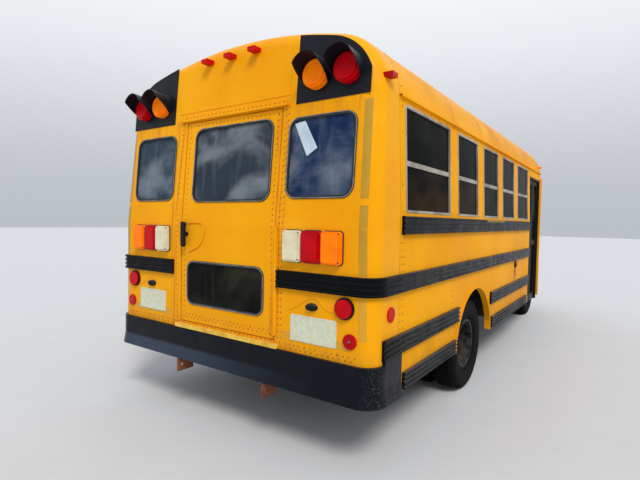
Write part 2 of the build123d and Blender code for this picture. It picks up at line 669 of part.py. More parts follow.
leaf_x = (step_x[0] + RUN_GAP, mid_x - LEAF_SEAM / 2)
leaf_split = leaf_z[0] + LEAF_SPLIT_RISE - 4


def entry_leaf(x0, x1):
    """One door leaf: a dark frame with two tall panes."""
    leaf = block(x0, x1, face_y, face_y + LEAF_T, *leaf_z)
    glass = []
    half_bar = LEAF_FRAME / 2
    lights = ((leaf_z[0] + LEAF_PANES[0], leaf_split - half_bar),
              (leaf_split + half_bar, leaf_z[1] - LEAF_PANES[1]))
    inner = (x0 + LEAF_FRAME, x1 - LEAF_FRAME)
    pane_y = face_y + LEAF_T / 2
    for low, high in lights:
        leaf -= side_pad(*inner, low, high, LEAF_T, face_y + LEAF_T + 5, face_y - 5)
        pane = side_pad(inner[0] + FIT, inner[1] - FIT, low + FIT, high - FIT, LEAF_T, pane_y + GLASS_T, pane_y)
        glass.append(pane)
    return leaf, join(*glass)


NODES["entry_leaf_rear"], NODES["entry_glass_rear"] = entry_leaf(*leaf_x)
front_leaf = entry_leaf(2 * mid_x - leaf_x[1], 2 * mid_x - leaf_x[0])
NODES["entry_leaf_front"], NODES["entry_glass_front"] = front_leaf


def cab_solid(inset):
    """The van cab: upright below the belt, leaning in above it, with a raked front."""
    half = CAB_HALF - inset
    top = CAP_BASE_Z
    shift = (top - CAB_BELT_Z) * tan(radians(CAB_LEAN))
    foot = CAB_SILL_Z - BEYOND
    right_side = [(-half, foot), (-half, CAB_BELT_Z), (shift - half, top)]
    across = right_side + [(-y, z) for y, z in reversed(right_side)]
    solid = along_x(across, CAB_REAR, COWL_X + BEYOND)
    rise = SCREEN_TOP_Z - COWL_Z
    base = COWL_X - inset * hypot(SCREEN_RUN, rise) / rise
    tip = base - (top - COWL_Z) * SCREEN_RUN / rise
    profile = [(CAB_REAR - 1, foot), (CAB_REAR - 1, top), (tip, top), (base, COWL_Z), (base, foot)]
    return solid & along_y(profile, -OUTSIDE_Y, OUTSIDE_Y)


def nose_solid(inset):
    """The van nose: sloping hood with round shoulders, round front corners and a round brow."""
    half = CAB_HALF - inset
    face = NOSE_FACE_X - inset
    break_x, break_z = HOOD_BREAK[0] - 0.3 * inset, HOOD_BREAK[1] - inset
    slope = (COWL_Z - HOOD_BREAK[1]) / (HOOD_BREAK[0] - COWL_X)
    foot = NOSE_BOTTOM_Z - BEYOND
    top = CAB_BELT_Z + BEYOND
    brow = (NOSE_FACE_X - BROW[0] - 0.7 * inset, HOOD_BREAK[1] - BROW[1] - 0.7 * inset)
    side = [
        Line((FENDER_REAR, 0, foot), (FENDER_REAR, 0, top)),
        Line((FENDER_REAR, 0, top), (break_x, 0, top)),
        Line((break_x, 0, top), (break_x, 0, break_z)),
        ThreePointArc((break_x, 0, break_z), (brow[0], 0, brow[1]), (face, 0, NOSE_EDGE_Z)),
        Line((face, 0, NOSE_EDGE_Z), (face, 0, foot)),
        Line((face, 0, foot), (FENDER_REAR, 0, foot)),
    ]
    side_form = extrude(make_face(side), amount=OUTSIDE_Y, dir=(0, 1, 0), both=True)
    start_x = NOSE_FACE_X - NOSE_CORNER[0]
    run = face - start_x
    depth = NOSE_CORNER[1] - 0.5 * inset
    radius = (run ** 2 + depth ** 2) / (2 * depth)
    turn = asin(run / radius) / 2
    halfway = (start_x + radius * sin(turn), half - radius * (1 - cos(turn)))
    bend = [(start_x, half), halfway, (face, half - depth)]
    left = [Vector(x, y, NOSE_BOTTOM_Z) for x, y in bend]
    right = [Vector(x, -y, NOSE_BOTTOM_Z) for x, y in bend]
    rear_left = Vector(FENDER_REAR, half, NOSE_BOTTOM_Z)
    rear_right = Vector(FENDER_REAR, -half, NOSE_BOTTOM_Z)
    plan = [
        Line(rear_left, left[0]), ThreePointArc(*left), Line(left[2], right[2]),
        ThreePointArc(*reversed(right)), Line(right[0], rear_right), Line(rear_right, rear_left),
    ]
    plan_form = extrude(make_face(plan), amount=top - NOSE_BOTTOM_Z, dir=(0, 0, 1))
    shoulder = SHOULDER_R - inset
    turn = shoulder * (1 - sqrt(0.5))
    far_x = NOSE_FACE_X + NOSE_T
    slices = []
    for x, crest in ((FENDER_REAR, CAB_BELT_Z), (COWL_X, COWL_Z), (far_x, COWL_Z - slope * (far_x - COWL_X))):
        z = crest - inset
        corner = [(x, half, z - shoulder), (x, half - turn, z - turn), (x, half - shoulder, z)]
        mirrored = [(x, -y, z) for x, y, z in reversed(corner)]
        slices.append(make_face([
            Line((x, -half, foot), (x, half, foot)), Line((x, half, foot), corner[0]), ThreePointArc(*corner),
            Line(corner[2], mirrored[0]), ThreePointArc(*mirrored), Line(mirrored[2], (x, -half, foot)),
        ]))
    return loft(slices, ruled=True) & side_form & plan_form


# Cab shell: left side with its door opening, screen pillars, right quarter panel
front_arch = rod(FRONT_AXLE_X, -OUTSIDE_Y, TYRE_R, FRONT_ARCH_R, 2 * OUTSIDE_Y, (0, 1, 0))
nose = nose_solid(0)
cab_outer = cab_solid(0)
cab_inner = cab_solid(CAB_T)
door_side_y = CAB_HALF - BEYOND
cab = cab_outer - cab_inner
cab &= block(CAB_REAR, COWL_X + 1, -OUTSIDE_Y, OUTSIDE_Y, CAB_SILL_Z, CAP_BASE_Z)
cab -= block(CAB_REAR - 1, FENDER_REAR, -OUTSIDE_Y, door_side_y, CAB_SILL_Z - 1, SCREEN_TOP_Z - 100)
cab -= block(CAB_REAR - 1, SIDE_END, -OUTSIDE_Y, door_side_y, CAB_SILL_Z - 1, CAP_BASE_Z + 1)
cab -= block(FENDER_REAR, COWL_X + 1, -OUTSIDE_Y, OUTSIDE_Y, CAB_SILL_Z - 1, COWL_Z)
half0, half1 = CAB_HALF - SCREEN_EDGE[0], CAB_HALF - SCREEN_EDGE[1]
screen_outline = [(-half0, SCREEN_Z[0]), (half0, SCREEN_Z[0]), (half1, SCREEN_Z[1]), (-half1, SCREEN_Z[1])]
screen_cut = along_x(screen_outline, FENDER_REAR - 60, COWL_X + BEYOND)
cab -= screen_cut
cab -= block(*DRIVER_X, door_side_y, OUTSIDE_Y, *DRIVER_Z)
light = [(LIGHT_X[0], LIGHT_Z[0]), (LIGHT_X[1], LIGHT_Z[0]), (LIGHT_X[0], LIGHT_Z[1])]
right_x = FENDER_REAR + 25
light_slope = (LIGHT_Z[1] - LIGHT_Z[0]) / (LIGHT_X[1] - LIGHT_X[0])
right_top = LIGHT_Z[0] + light_slope * (LIGHT_X[1] - right_x)
right_light = [(right_x, LIGHT_Z[0]), (LIGHT_X[1], LIGHT_Z[0]), (right_x, right_top)]
left_light_cut = along_y(light, 0, OUTSIDE_Y)
right_light_cut = along_y(right_light, -OUTSIDE_Y, 0)
cab -= left_light_cut
cab -= right_light_cut
quarter_plan = [
    (SIDE_END, -HALF_WIDTH), (FENDER_REAR, -CAB_HALF), (FENDER_REAR, -CAB_HALF + CAB_T),
    (SIDE_END, -INNER_Y + 10),
]
quarter = along_z(quarter_plan, CAB_SILL_Z, CAP_BASE_Z)
quarter_x = (SIDE_END + CAB_T, FENDER_REAR - CAB_T)
quarter_z = (CAB_BELT_Z + 55, CAP_BASE_Z - 130)
quarter_slope = (HALF_WIDTH - CAB_HALF) / (FENDER_REAR - SIDE_END)
pane_plan = []
for depth in (14.0, 14.0 + GLASS_T):
    ends = [(x, -HALF_WIDTH + quarter_slope * (x - SIDE_END) + depth) for x in quarter_x]
    pane_plan += ends if depth == 14.0 else ends[::-1]
quarter_pane = along_z(pane_plan, quarter_z[0] + FIT, quarter_z[1] - FIT)
cab += quarter - block(*quarter_x, -OUTSIDE_Y, -CAB_HALF + BEYOND, *quarter_z)
driver_pivot = (DRIVER_X[1] - RUN_GAP / 2, CAB_HALF + 4)
for z in (DRIVER_Z[0] + 120, DRIVER_Z[0] + 580):
    cab += rod(*driver_pivot, z, 4.7, 90, (0, 0, 1))
    cab += block(driver_pivot[0], driver_pivot[0] + 20, CAB_HALF, CAB_HALF + 4, z, z + 90)
cab -= front_arch
cab -= nose
NODES["cab_shell"] = cab
windshield = (cab_solid(SCREEN_DEPTH) - cab_solid(SCREEN_DEPTH + GLASS_T)) & screen_cut
light_layer = cab_solid(LIGHT_DEPTH) - cab_solid(LIGHT_DEPTH + GLASS_T)
light_panes = join(light_layer & left_light_cut, light_layer & right_light_cut)
NODES["window_glass"] = join(body_panes, windshield, light_panes, quarter_pane)

door_x = (DRIVER_X[0] + DOOR_SWING_GAP, DRIVER_X[1] - RUN_GAP)
door = cab_outer - cab_inner
door &= block(*door_x, door_side_y, OUTSIDE_Y, DRIVER_Z[0] + RUN_GAP, DRIVER_Z[1] - RUN_GAP)
glass_x = (DRIVER_X[0] + DRIVER_GLASS[0], DRIVER_X[1] - DRIVER_GLASS[1])
glass_z = DRIVER_GLASS[2:]
NODES["driver_door"] = door - side_pad(*glass_x, *glass_z, 50, OUTSIDE_Y, door_side_y)
glass_form = side_pad(glass_x[0] + FIT, glass_x[1] - FIT, glass_z[0] + FIT, glass_z[1] - FIT, 50,
                      OUTSIDE_Y, door_side_y)
NODES["driver_glass"] = light_layer & glass_form

# Nose: fenders, hood, grille and headlamps, all cut from one sheet-metal form
nose_shell = nose - nose_solid(NOSE_T)
hood_x = (COWL_X + HOOD_LIP, NOSE_FACE_X - 70)
hood_low = HOOD_BREAK[1] - 180
above_hood = CAB_BELT_Z + BEYOND
hood = nose_shell & block(*hood_x, -HOOD_HALF, HOOD_HALF, hood_low, above_hood)
hood_pivot = (hood_x[0] - RUN_GAP / 2, COWL_Z + 5)
pivot_room = HOOD_PIVOT_R + SEAT_GAP
for y in HINGE_YS:
    hood += block(hood_pivot[0] + pivot_room, hood_pivot[0] + 45, y, y + HINGE_W,
                  hood_pivot[1] - 22, hood_pivot[1] + 3)
hood -= rod(hood_pivot[0], HINGE_YS[0] - 60, hood_pivot[1], pivot_room, 1200, (0, 1, 0))
NODES["hood"] = hood
fenders = nose_shell - block(hood_x[0] - RUN_GAP, hood_x[1] + RUN_GAP, -HOOD_HALF - RUN_GAP,
                             HOOD_HALF + RUN_GAP, hood_low, above_hood)
for side in (-1, 1):
    front_lip = rod(FRONT_AXLE_X, side * (CAB_HALF - SINK), TYRE_R, FRONT_ARCH_R + ARCH_LIP_W,
                    side * (ARCH_LIP_T + SINK), (0, 1, 0))
    fenders += front_lip & block(FENDER_REAR, NOSE_FACE_X - NOSE_CORNER[0], -OUTSIDE_Y, OUTSIDE_Y,
                                 NOSE_BOTTOM_Z, CAB_BELT_Z)
fenders -= front_arch
before_face = NOSE_FACE_X + BEYOND
fenders -= block(NOSE_FACE_X - 60, before_face, -GRILLE_HALF, GRILLE_HALF, *GRILLE_Z)
bay = block(NOSE_FACE_X - LAMP_DEPTH - 60, before_face, *LAMP_Y, *LAMP_Z)
fenders -= bay
fenders -= flip(bay)
for y in HINGE_YS:
    fenders += rod(hood_pivot[0], y, hood_pivot[1], HOOD_PIVOT_R, HINGE_W, (0, 1, 0))
    fenders += block(COWL_X + 1, hood_pivot[0], y, y + HINGE_W, COWL_Z - 15, hood_pivot[1])
NODES["front_fenders"] = fenders
grille = nose & block(NOSE_FACE_X - GRILLE_T, before_face, -GRILLE_HALF + FIT, GRILLE_HALF - FIT,
                      GRILLE_Z[0] + FIT, GRILLE_Z[1] - FIT)
pitch = (GRILLE_Z[1] - GRILLE_Z[0] - 2 * GRILLE_EDGE) / GRILLE_BARS
for row in range(GRILLE_BARS):
    z = GRILLE_Z[0] + GRILLE_EDGE + row * pitch
    for y0, y1 in ((-GRILLE_HALF + GRILLE_EDGE, -GRILLE_EDGE), (GRILLE_EDGE, GRILLE_HALF - GRILLE_EDGE)):
        grille -= block(NOSE_FACE_X - 60, before_face, y0, y1, z + 7, z + pitch - 7)
NODES["grille"] = grille
lamp = nose & block(NOSE_FACE_X - LAMP_DEPTH - 60, before_face, LAMP_Y[0] + FIT, LAMP_Y[1] - FIT,
                    LAMP_Z[0] + FIT, LAMP_Z[1] - FIT)
lamp -= Pos(-LAMP_DEPTH, 0, 0) * nose
headlamps = pair(lamp)

# Bumpers: the rear one wraps round the corners and flares out at the bottom
upper_low = BUMPER_Z[0] + FLARE_H
outer_flare = plan_flare(-BUMPER_REACH - FLARE_OUT, -BUMPER_REACH, BUMPER_END, BUMPER_Z[0], upper_low)
outer_flare += plan_solid(-BUMPER_REACH, BUMPER_END, upper_low, BUMPER_Z[1])
skin = BUMPER_T - BUMPER_REACH
inner_flare = plan_flare(skin - FLARE_OUT, skin, BUMPER_END + 1, BUMPER_Z[0], upper_low)
inner_flare += plan_solid(skin, BUMPER_END + 1, upper_low, BUMPER_Z[1] - BUMPER_T)
rear_bumper = outer_flare - inner_flare
cheek = plan_solid(-BUMPER_REACH, BUMPER_END, BUMPER_Z[1] - BUMPER_T, FLOOR_RAIL[0])
rear_bumper += cheek - block(-BEYOND, CORNER_R, -OUTSIDE_Y, OUTSIDE_Y, BUMPER_Z[0], EAVE_Z)
rear_bumper -= plan_solid(-FIT, BUMPER_END + 1, BUMPER_Z[0] - 1, EAVE_Z)
rear_bumper += pair(block(skin, 0, *RAIL_Y, RAIL_Z[0], BUMPER_Z[1] - BUMPER_T))
face = FRONT_BUMPER_X
outline = [(face - 190, CAB_HALF + 12), (face - 50, CAB_HALF - 40), (face, CAB_HALF - 300)]
t = FRONT_BUMPER_T
inner = [(face - t, CAB_HALF - 306), (face - 50 - t, CAB_HALF - 50), (face - 190, CAB_HALF)]
plan = outline + [(x, -y) for x, y in reversed(outline)]
plan += [(x, -y) for x, y in reversed(inner)] + inner
front_bumper = along_z(plan, *FRONT_BUMPER_Z)
front_bumper += pair(block(NOSE_FACE_X - 50, face - t, *RAIL_Y, RAIL_Z[0], NOSE_BOTTOM_Z))
NODES["bumpers"] = join(rear_bumper, front_bumper)

# Chassis: two rails, the crossmembers between them, and the body sills that carry the floor
NODES["chassis_frame"] = pair(block(WALL, NOSE_FACE_X - 50, *RAIL_Y, *RAIL_Z))
cross_x = [WALL, REAR_AXLE_X - 885, REAR_AXLE_X + 815, CAB_REAR - 540, CAB_REAR + 450, NOSE_FACE_X - 150]
NODES["crossmembers"] = join(*[block(x, x + CROSS_W, -RAIL_Y[0], RAIL_Y[0], *CROSS_Z) for x in cross_x])
sills = []
x = SILL_START
while x < floor_end:
    over_wheel = abs(x + SILL_W / 2 - ARCH_X) < ARCH_HALF + 60
    out = house_y - 10 if over_wheel else INNER_Y - RUN_GAP
    right_out = -step_y - 20 if x > ENTRY_X[0] - 60 else out
    left_out = min(out, CAB_HALF - CAB_T - RUN_GAP) if x > CAB_REAR - WALL - SILL_W else out
    sills.append(block(x, x + SILL_W, -right_out, left_out, RAIL_Z[1], FLOOR_LOW))
    x += SILL_PITCH
NODES["floor_sills"] = join(*sills)

# Rear axle, leaf springs and drive line
hub_y = (DUAL_Y[0] + DUAL_Y[1]) / 2
tube_end = hub_y - 75
axle = rod(REAR_AXLE_X, -tube_end, TYRE_R, TUBE_R, 2 * tube_end, (0, 1, 0))
axle += rod(REAR_AXLE_X - 130, 0, TYRE_R, DIFF_R, 270, (1, 0, 0))
for side in (-1, 1):
    axle += rod(REAR_AXLE_X, side * tube_end, TYRE_R, SPINDLE_R, side * 130, (0, 1, 0))
gearbox_x = (CAB_REAR + 510, FENDER_REAR + 150)
shaft_a = Vector(REAR_AXLE_X + 100, 0, TYRE_R + 10)
shaft_b = Vector(gearbox_x[0], 0, RAIL_Z[0] - 10)
plane = Plane(origin=shaft_a, z_dir=shaft_b - shaft_a)
axle += extrude(plane * Circle(SHAFT_R), amount=(shaft_b - shaft_a).length - 8)
NODES["rear_axle"] = axle
spring_z = TYRE_R + TUBE_R + SEAT_GAP
eye_z = spring_z + SPRING_RISE
spring_x = (REAR_AXLE_X - SPRING_HALF, REAR_AXLE_X, REAR_AXLE_X + SPRING_HALF)
under = [(x, SPRING_Y[0], z) for x, z in zip(spring_x, (eye_z, spring_z, eye_z))]
upper = [(x, y, z + SPRING_T) for x, y, z in under]
leaf_face = make_face([
    ThreePointArc(*under), Line(under[2], upper[2]), ThreePointArc(*reversed(upper)), Line(upper[0], under[0]),
])
spring = extrude(leaf_face, amount=SPRING_Y[1] - SPRING_Y[0], dir=(0, 1, 0))
for x in (spring_x[0] - 40, spring_x[2]):
    spring += block(x, x + 40, RAIL_Y[1], SPRING_Y[1], eye_z - 10, eye_z + 60)
engine_x = (FENDER_REAR + 150, NOSE_FACE_X - 300)
engine = block(*engine_x, -270, 270, RAIL_Z[0] + 30, HOOD_BREAK[1] - 240)
engine += block(*gearbox_x, -150, 150, RAIL_Z[0] - 80, RAIL_Z[1] - 10)
engine += block(engine_x[0] + 300, engine_x[0] + 400, -RAIL_Y[0], RAIL_Y[0], RAIL_Z[0] + 70, RAIL_Z[0] + 110)
NODES["engine"] = engine
tank_x = (REAR_AXLE_X + 1095, REAR_AXLE_X + 1995)
tank = block(*tank_x, -HALF_WIDTH + 119, -RAIL_Y[1] - 60, SKIRT_Z + 20, RAIL_Z[1])
NODES["fuel_tank"] = fillet(tank.edges().filter_by(Axis.X), 45)
pipe_z = TYRE_R + TUBE_R + 20 + PIPE_R
exhaust_end = FENDER_REAR + 250
exhaust = rod(150, PIPE_Y, pipe_z, PIPE_R, exhaust_end + PIPE_R - 150, (1, 0, 0))
exhaust += rod(MUFFLER[0], PIPE_Y, pipe_z, MUFFLER[2], MUFFLER[1], (1, 0, 0))
exhaust += rod(exhaust_end, PIPE_Y, pipe_z, PIPE_R, RAIL_Z[0] + 30 - pipe_z, (0, 0, 1))
NODES["exhaust"] = exhaust

# Front axle beam with its coil springs, and the steering knuckles
pin_z = (TYRE_R - EYE_HALF, TYRE_R + EYE_HALF)
beam_y = KINGPIN_Y - 20
beam = block(FRONT_AXLE_X - EYE_HALF, FRONT_AXLE_X + EYE_HALF, -beam_y, beam_y, *pin_z)
for side in (-1, 1):
    beam += rod(FRONT_AXLE_X, side * KINGPIN_Y, pin_z[0], EYE_R, 2 * EYE_HALF, (0, 0, 1))
for side in (-1, 1):
    beam -= rod(FRONT_AXLE_X, side * KINGPIN_Y, pin_z[0] - 1, PIN_R, 2 * EYE_HALF + 2, (0, 0, 1))
NODES["front_axle"] = beam
coil_y = KINGPIN_Y - 180
coil_top = RAIL_Z[1] - 40
coil = rod(FRONT_AXLE_X, coil_y, pin_z[1], COIL_R, coil_top - pin_z[1], (0, 0, 1))
coil += block(FRONT_AXLE_X - 70, FRONT_AXLE_X + 70, RAIL_Y[1], coil_y + 65, coil_top, RAIL_Z[1])
NODES["springs"] = join(pair(spring), pair(coil))
knuckle_z = (pin_z[0] - PIN_OUT, pin_z[1] + PIN_OUT)
arm_y = KINGPIN_Y + 65
knuckle_h = knuckle_z[1] - knuckle_z[0]
knuckle = rod(FRONT_AXLE_X, KINGPIN_Y, knuckle_z[0], PIN_R - SPINDLE_FIT, knuckle_h, (0, 0, 1))
for z in (knuckle_z[0], pin_z[1] + 2):
    knuckle += block(FRONT_AXLE_X - 28, FRONT_AXLE_X + 28, KINGPIN_Y - 28, arm_y, z, z + 28)
knuckle += block(FRONT_AXLE_X - 45, FRONT_AXLE_X + 45, arm_y - 20, arm_y, *knuckle_z)
knuckle += rod(FRONT_AXLE_X, arm_y, TYRE_R, SPINDLE_R, 135, (0, 1, 0))
NODES["knuckle_left"] = knuckle
NODES["knuckle_right"] = flip(knuckle)


def ring(x, profile):
    """A wheel piece turned about the line through an axle; the outline is (radius, y)."""
    face = make_face(Polyline(*[(x, y, TYRE_R + r) for r, y in profile], close=True))
    return revolve(face, axis=Axis((x, 0, TYRE_R), (0, 1, 0)))


def tyre(x, y):
    """One tyre: bead, bulged sidewall, square shoulder."""
    wide = TYRE_W / 2
    half = [
        (RIM_R, wide - 37), (RIM_R + 14, wide - 37), (RIM_R + 32, wide - 19), (TYRE_R - 100, wide),
        (TYRE_R - 37, wide - 6), (TYRE_R - 8, wide - 23), (TYRE_R, wide - 47),
    ]
    outline = half + [(r, -w) for r, w in reversed(half)]
    return ring(x, [(r, y + w) for r, w in outline])


def rim(x, y, dish_y):
    """One dished steel wheel: lipped barrel, cone and flat centre with hand holes."""
    seat = TYRE_W / 2 - 37 + SEAT_GAP
    barrel = [
        (RIM_R - SEAT_GAP, -seat), (RIM_R + 13, -seat), (RIM_R + 13, -seat - 8), (RIM_R - 10, -seat - 8),
        (RIM_R - 10, seat + 8), (RIM_R + 13, seat + 8), (RIM_R + 13, seat), (RIM_R - SEAT_GAP, seat),
    ]
    wheel = ring(x, [(r, y + w) for r, w in barrel])
    toward = 1 if dish_y > y else -1
    edge = y + toward * 60
    back = dish_y - toward * 9
    cone = [
        (RIM_R - 9, edge), (110, back), (60, back), (60, dish_y), (116, dish_y),
        (RIM_R - 9, edge + toward * 12),
    ]
    wheel += ring(x, cone)
    count, circle, hole_r = HAND_HOLES
    for k in range(count):
        angle = radians(360 / count * (k + 0.5))
        start = min(edge, dish_y) - 60
        wheel -= rod(x + circle * cos(angle), start, TYRE_R + circle * sin(angle), hole_r,
                     abs(dish_y - edge) + 120, (0, 1, 0))
    return wheel


def hub(x, y0, disc_y):
    """The hub that carries a wheel's centre and turns on the spindle."""
    bore = SPINDLE_R + SPINDLE_FIT
    inner = y0 + 128
    outline = [
        (bore, y0), (HUB_R, y0), (HUB_R, disc_y + 20), (50, disc_y + 50), (0, disc_y + 50), (0, inner),
        (bore, inner),
    ]
    return ring(x, outline)


disc_step = DUAL_Y[0] - hub_y
rims = rim(REAR_AXLE_X, DUAL_Y[0], hub_y) + rim(REAR_AXLE_X, DUAL_Y[1], hub_y)
rims += hub(REAR_AXLE_X, tube_end + 12, hub_y + 55)
NODES["rear_rims_left"] = rims
NODES["rear_rims_right"] = flip(rims)
tyres = join(tyre(REAR_AXLE_X, DUAL_Y[0]), tyre(REAR_AXLE_X, DUAL_Y[1]))
NODES["rear_tyres_left"] = tyres
NODES["rear_tyres_right"] = flip(tyres)
front_disc = FRONT_WHEEL_Y + disc_step
front_rim = rim(FRONT_AXLE_X, FRONT_WHEEL_Y, front_disc) + hub(FRONT_AXLE_X, arm_y + 15, front_disc)
NODES["front_rim_left"] = front_rim
NODES["front_rim_right"] = flip(front_rim)
NODES["front_tyre_left"] = tyre(FRONT_AXLE_X, FRONT_WHEEL_Y)
NODES["front_tyre_right"] = flip(NODES["front_tyre_left"])


def rub_rail(band, x0, x1):
    """A black pressed rail on the right side, with raised ribs along it."""
    low, high = band
    y = -HALF_WIDTH
    base = y - RAIL_PROUD + RIB_DEPTH
    step = (high - low) / RIB_PITCHES
    outline = [(y, low)]
    for k in RIBS:
        z = low + k * step
        outline += [(base, z), (y - RAIL_PROUD, z + 3), (y - RAIL_PROUD, z + step - 3), (base, z + step)]
    return along_x(outline + [(y, high)], x0, x1)


# Rub rails on each side as (band, rear end, front end), and the two that wrap the rear corners
rail_front = CAB_REAR - 40
RAIL_RUNS = [
    (SILL_RAIL, REAR_SEAM + 20, rail_front), (SEAT_RAIL, REAR_SEAM, rail_front),
    (FLOOR_RAIL, REAR_SEAM, ARCH_X - ARCH_HALF + 15), (FLOOR_RAIL, ARCH_X + ARCH_HALF - 5, rail_front),
    (SKIRT_RAIL, BUMPER_END + 51, ARCH_X - ARCH_HALF - 45),
    (SKIRT_RAIL, ARCH_X + ARCH_HALF + 45, CAB_REAR - 140),
]
side_rails = join(*[rub_rail(band, x0, x1) for band, x0, x1 in RAIL_RUNS]) - lip
corner_rails = []
for band, y_end, x_start in ((SEAT_RAIL, SEAT_RAIL_END, -BEYOND), (FLOOR_RAIL, HALF_WIDTH - 30, CORNER_R - 10)):
    low, high = band
    step = (high - low) / RIB_PITCHES
    wrap = plan_solid(RIB_DEPTH - RAIL_PROUD, REAR_SEAM, low, high)
    for k in RIBS:
        wrap += plan_solid(-RAIL_PROUD, REAR_SEAM, low + k * step + 2, low + (k + 1) * step - 2)
    wrap -= plan_solid(0, REAR_SEAM + 1, low - 1, high + 1)
    wrap -= block(-BEYOND, REAR_SEAM + 1, -y_end, y_end, low - 1, high + 1)
    wrap -= block(-BEYOND - 1, x_start, -OUTSIDE_Y, OUTSIDE_Y, low - 1, high + 1)
    corner_rails.append(wrap)
NODES["rub_rails"] = join(pair(side_rails), *corner_rails)

# Rear lamps: black panels with hooded warning lamps, tail lamps, stop lamps and reflectors
outer = body_solid(0, SKIRT_Z)
panel_y0, panel_in, panel_z = WARN_PANEL
inside = section_bar(38, SKIRT_Z, -BEYOND, BEYOND)
panel = rear_skin(panel_y0, HALF_WIDTH - panel_in, panel_z, ROOF_Z, -DOOR_POST_T, -0.01) & inside
warning_hoods = panel
lamps = {"amber": [], "red": []}
for colour, inward in WARN_IN.items():
    y = HALF_WIDTH - inward
    lens = rod(0, y, WARN_Z, WARN_R, -WARN_DEPTH, (1, 0, 0))
    dome = rod(-WARN_DEPTH, y, WARN_Z, WARN_R - 14, -14, (1, 0, 0))
    lamps[colour].append(lean_rear(Pos(-DOOR_POST_T - SEAT_GAP, 0, 0) * (lens + dome)))
    visor = rod(-DOOR_POST_T, y, WARN_Z, HOOD_R, -HOOD_LEN, (1, 0, 0))
    visor -= rod(1 - DOOR_POST_T, y, WARN_Z, HOOD_R - HOOD_T, -HOOD_LEN - 2, (1, 0, 0))
    wedge = [
        (10, WARN_Z - HOOD_LEN), (-2 * HOOD_LEN, WARN_Z - HOOD_LEN), (-2 * HOOD_LEN, WARN_Z + 60),
        (-HOOD_LEN - 4, WARN_Z + 40), (-DOOR_POST_T, WARN_Z - 60), (10, WARN_Z - 60),
    ]
    visor -= along_y(wedge, y - HOOD_LEN, y + HOOD_LEN)
    warning_hoods += lean_rear(visor)
front_hoods = []
front_x = BODY_FRONT - (FRONT_WARN_Z - CAP_BASE_Z) * CAP_RAKE / (ROOF_Z - CAP_BASE_Z) - 60
for colour, inward in WARN_IN.items():
    y = HALF_WIDTH - inward - 40
    lamps[colour].append(rod(front_x, y, FRONT_WARN_Z, WARN_R, 130, (1, 0, 0)) - outer)
    visor = rod(front_x, y, FRONT_WARN_Z, HOOD_R, 230, (1, 0, 0))
    visor -= rod(front_x - 1, y, FRONT_WARN_Z, HOOD_R - HOOD_T, 240, (1, 0, 0))
    low = FRONT_WARN_Z - HOOD_LEN
    wedge = [
        (front_x - 50, low), (front_x + 400, low), (front_x + 400, FRONT_WARN_Z + 60),
        (front_x + 232, FRONT_WARN_Z + 40), (front_x + 70, FRONT_WARN_Z - 50),
        (front_x - 50, FRONT_WARN_Z - 50),
    ]
    visor -= along_y(wedge, y - HOOD_LEN, y + HOOD_LEN)
    front_hoods.append(visor - outer)


def tail_lamp(colour):
    """One rectangular rear lamp with a stepped face."""
    y = TAIL_PLACE[colour] * TAIL_ROOM - DOOR_Y[0]
    half = TAIL_W / 2
    lamp = rear_pad(y - half, y + half, *TAIL_Z, TAIL_R, -TAIL_DEPTH[0], 0)
    half -= TAIL_STEP
    return lamp + rear_pad(y - half, y + half, TAIL_Z[0] + TAIL_STEP, TAIL_Z[1] - TAIL_STEP,
                           TAIL_R - 6, -TAIL_DEPTH[1], -TAIL_DEPTH[0])


def side_marker(x):
    """A small marker lamp that looks out of the body's corner high up."""
    length, z0, z1 = MARKER
    return block(x, x + length, HALF_WIDTH - 120, HALF_WIDTH + 10, z0, z1) - outer


stop_y, stop_z, stop_r = STOP_LAMP
stop = rod(0, stop_y, stop_z, stop_r - 10, -26, (1, 0, 0))
grommet = rod(0, stop_y, stop_z, stop_r, -14, (1, 0, 0))
grommet -= rod(1, stop_y, stop_z, stop_r - 9.5, -20, (1, 0, 0))
reflector = rod(0, REFLECTOR[0], REFLECTOR[1], REFLECTOR[2], -10, (1, 0, 0))
side_reflector = rod(SIDE_REFLECTOR_X, HALF_WIDTH, stop_z - 41, REFLECTOR[2], 10, (0, 1, 0))
lamps["red"] += [tail_lamp("red"), stop, reflector, side_reflector, side_marker(REAR_SEAM - 175)]
lamps["amber"] += [tail_lamp("amber"), side_marker(ROOF_SEAM + 120)]
red = [pair(lamp) for lamp in lamps["red"]]
amber = [pair(lamp) for lamp in lamps["amber"]]
for y in CLUSTER_Y:
    y0, y1 = y - CLUSTER_HALF, y + CLUSTER_HALF
    red.append(block(30, 120, y0, y1, ROOF_Z - 130, ROOF_Z - 102) - outer)
    amber.append(block(BODY_FRONT - 240, BODY_FRONT - 140, y0, y1, ROOF_Z - 192, ROOF_Z - 162) - outer)
NODES["red_lamps"] = join(*red)
NODES["amber_lamps"] = join(*amber)
NODES["clear_lamps"] = join(headlamps, pair(tail_lamp("white")))
NODES["lamp_hoods"] = join(pair(warning_hoods), *[pair(visor) for visor in front_hoods], pair(grommet))

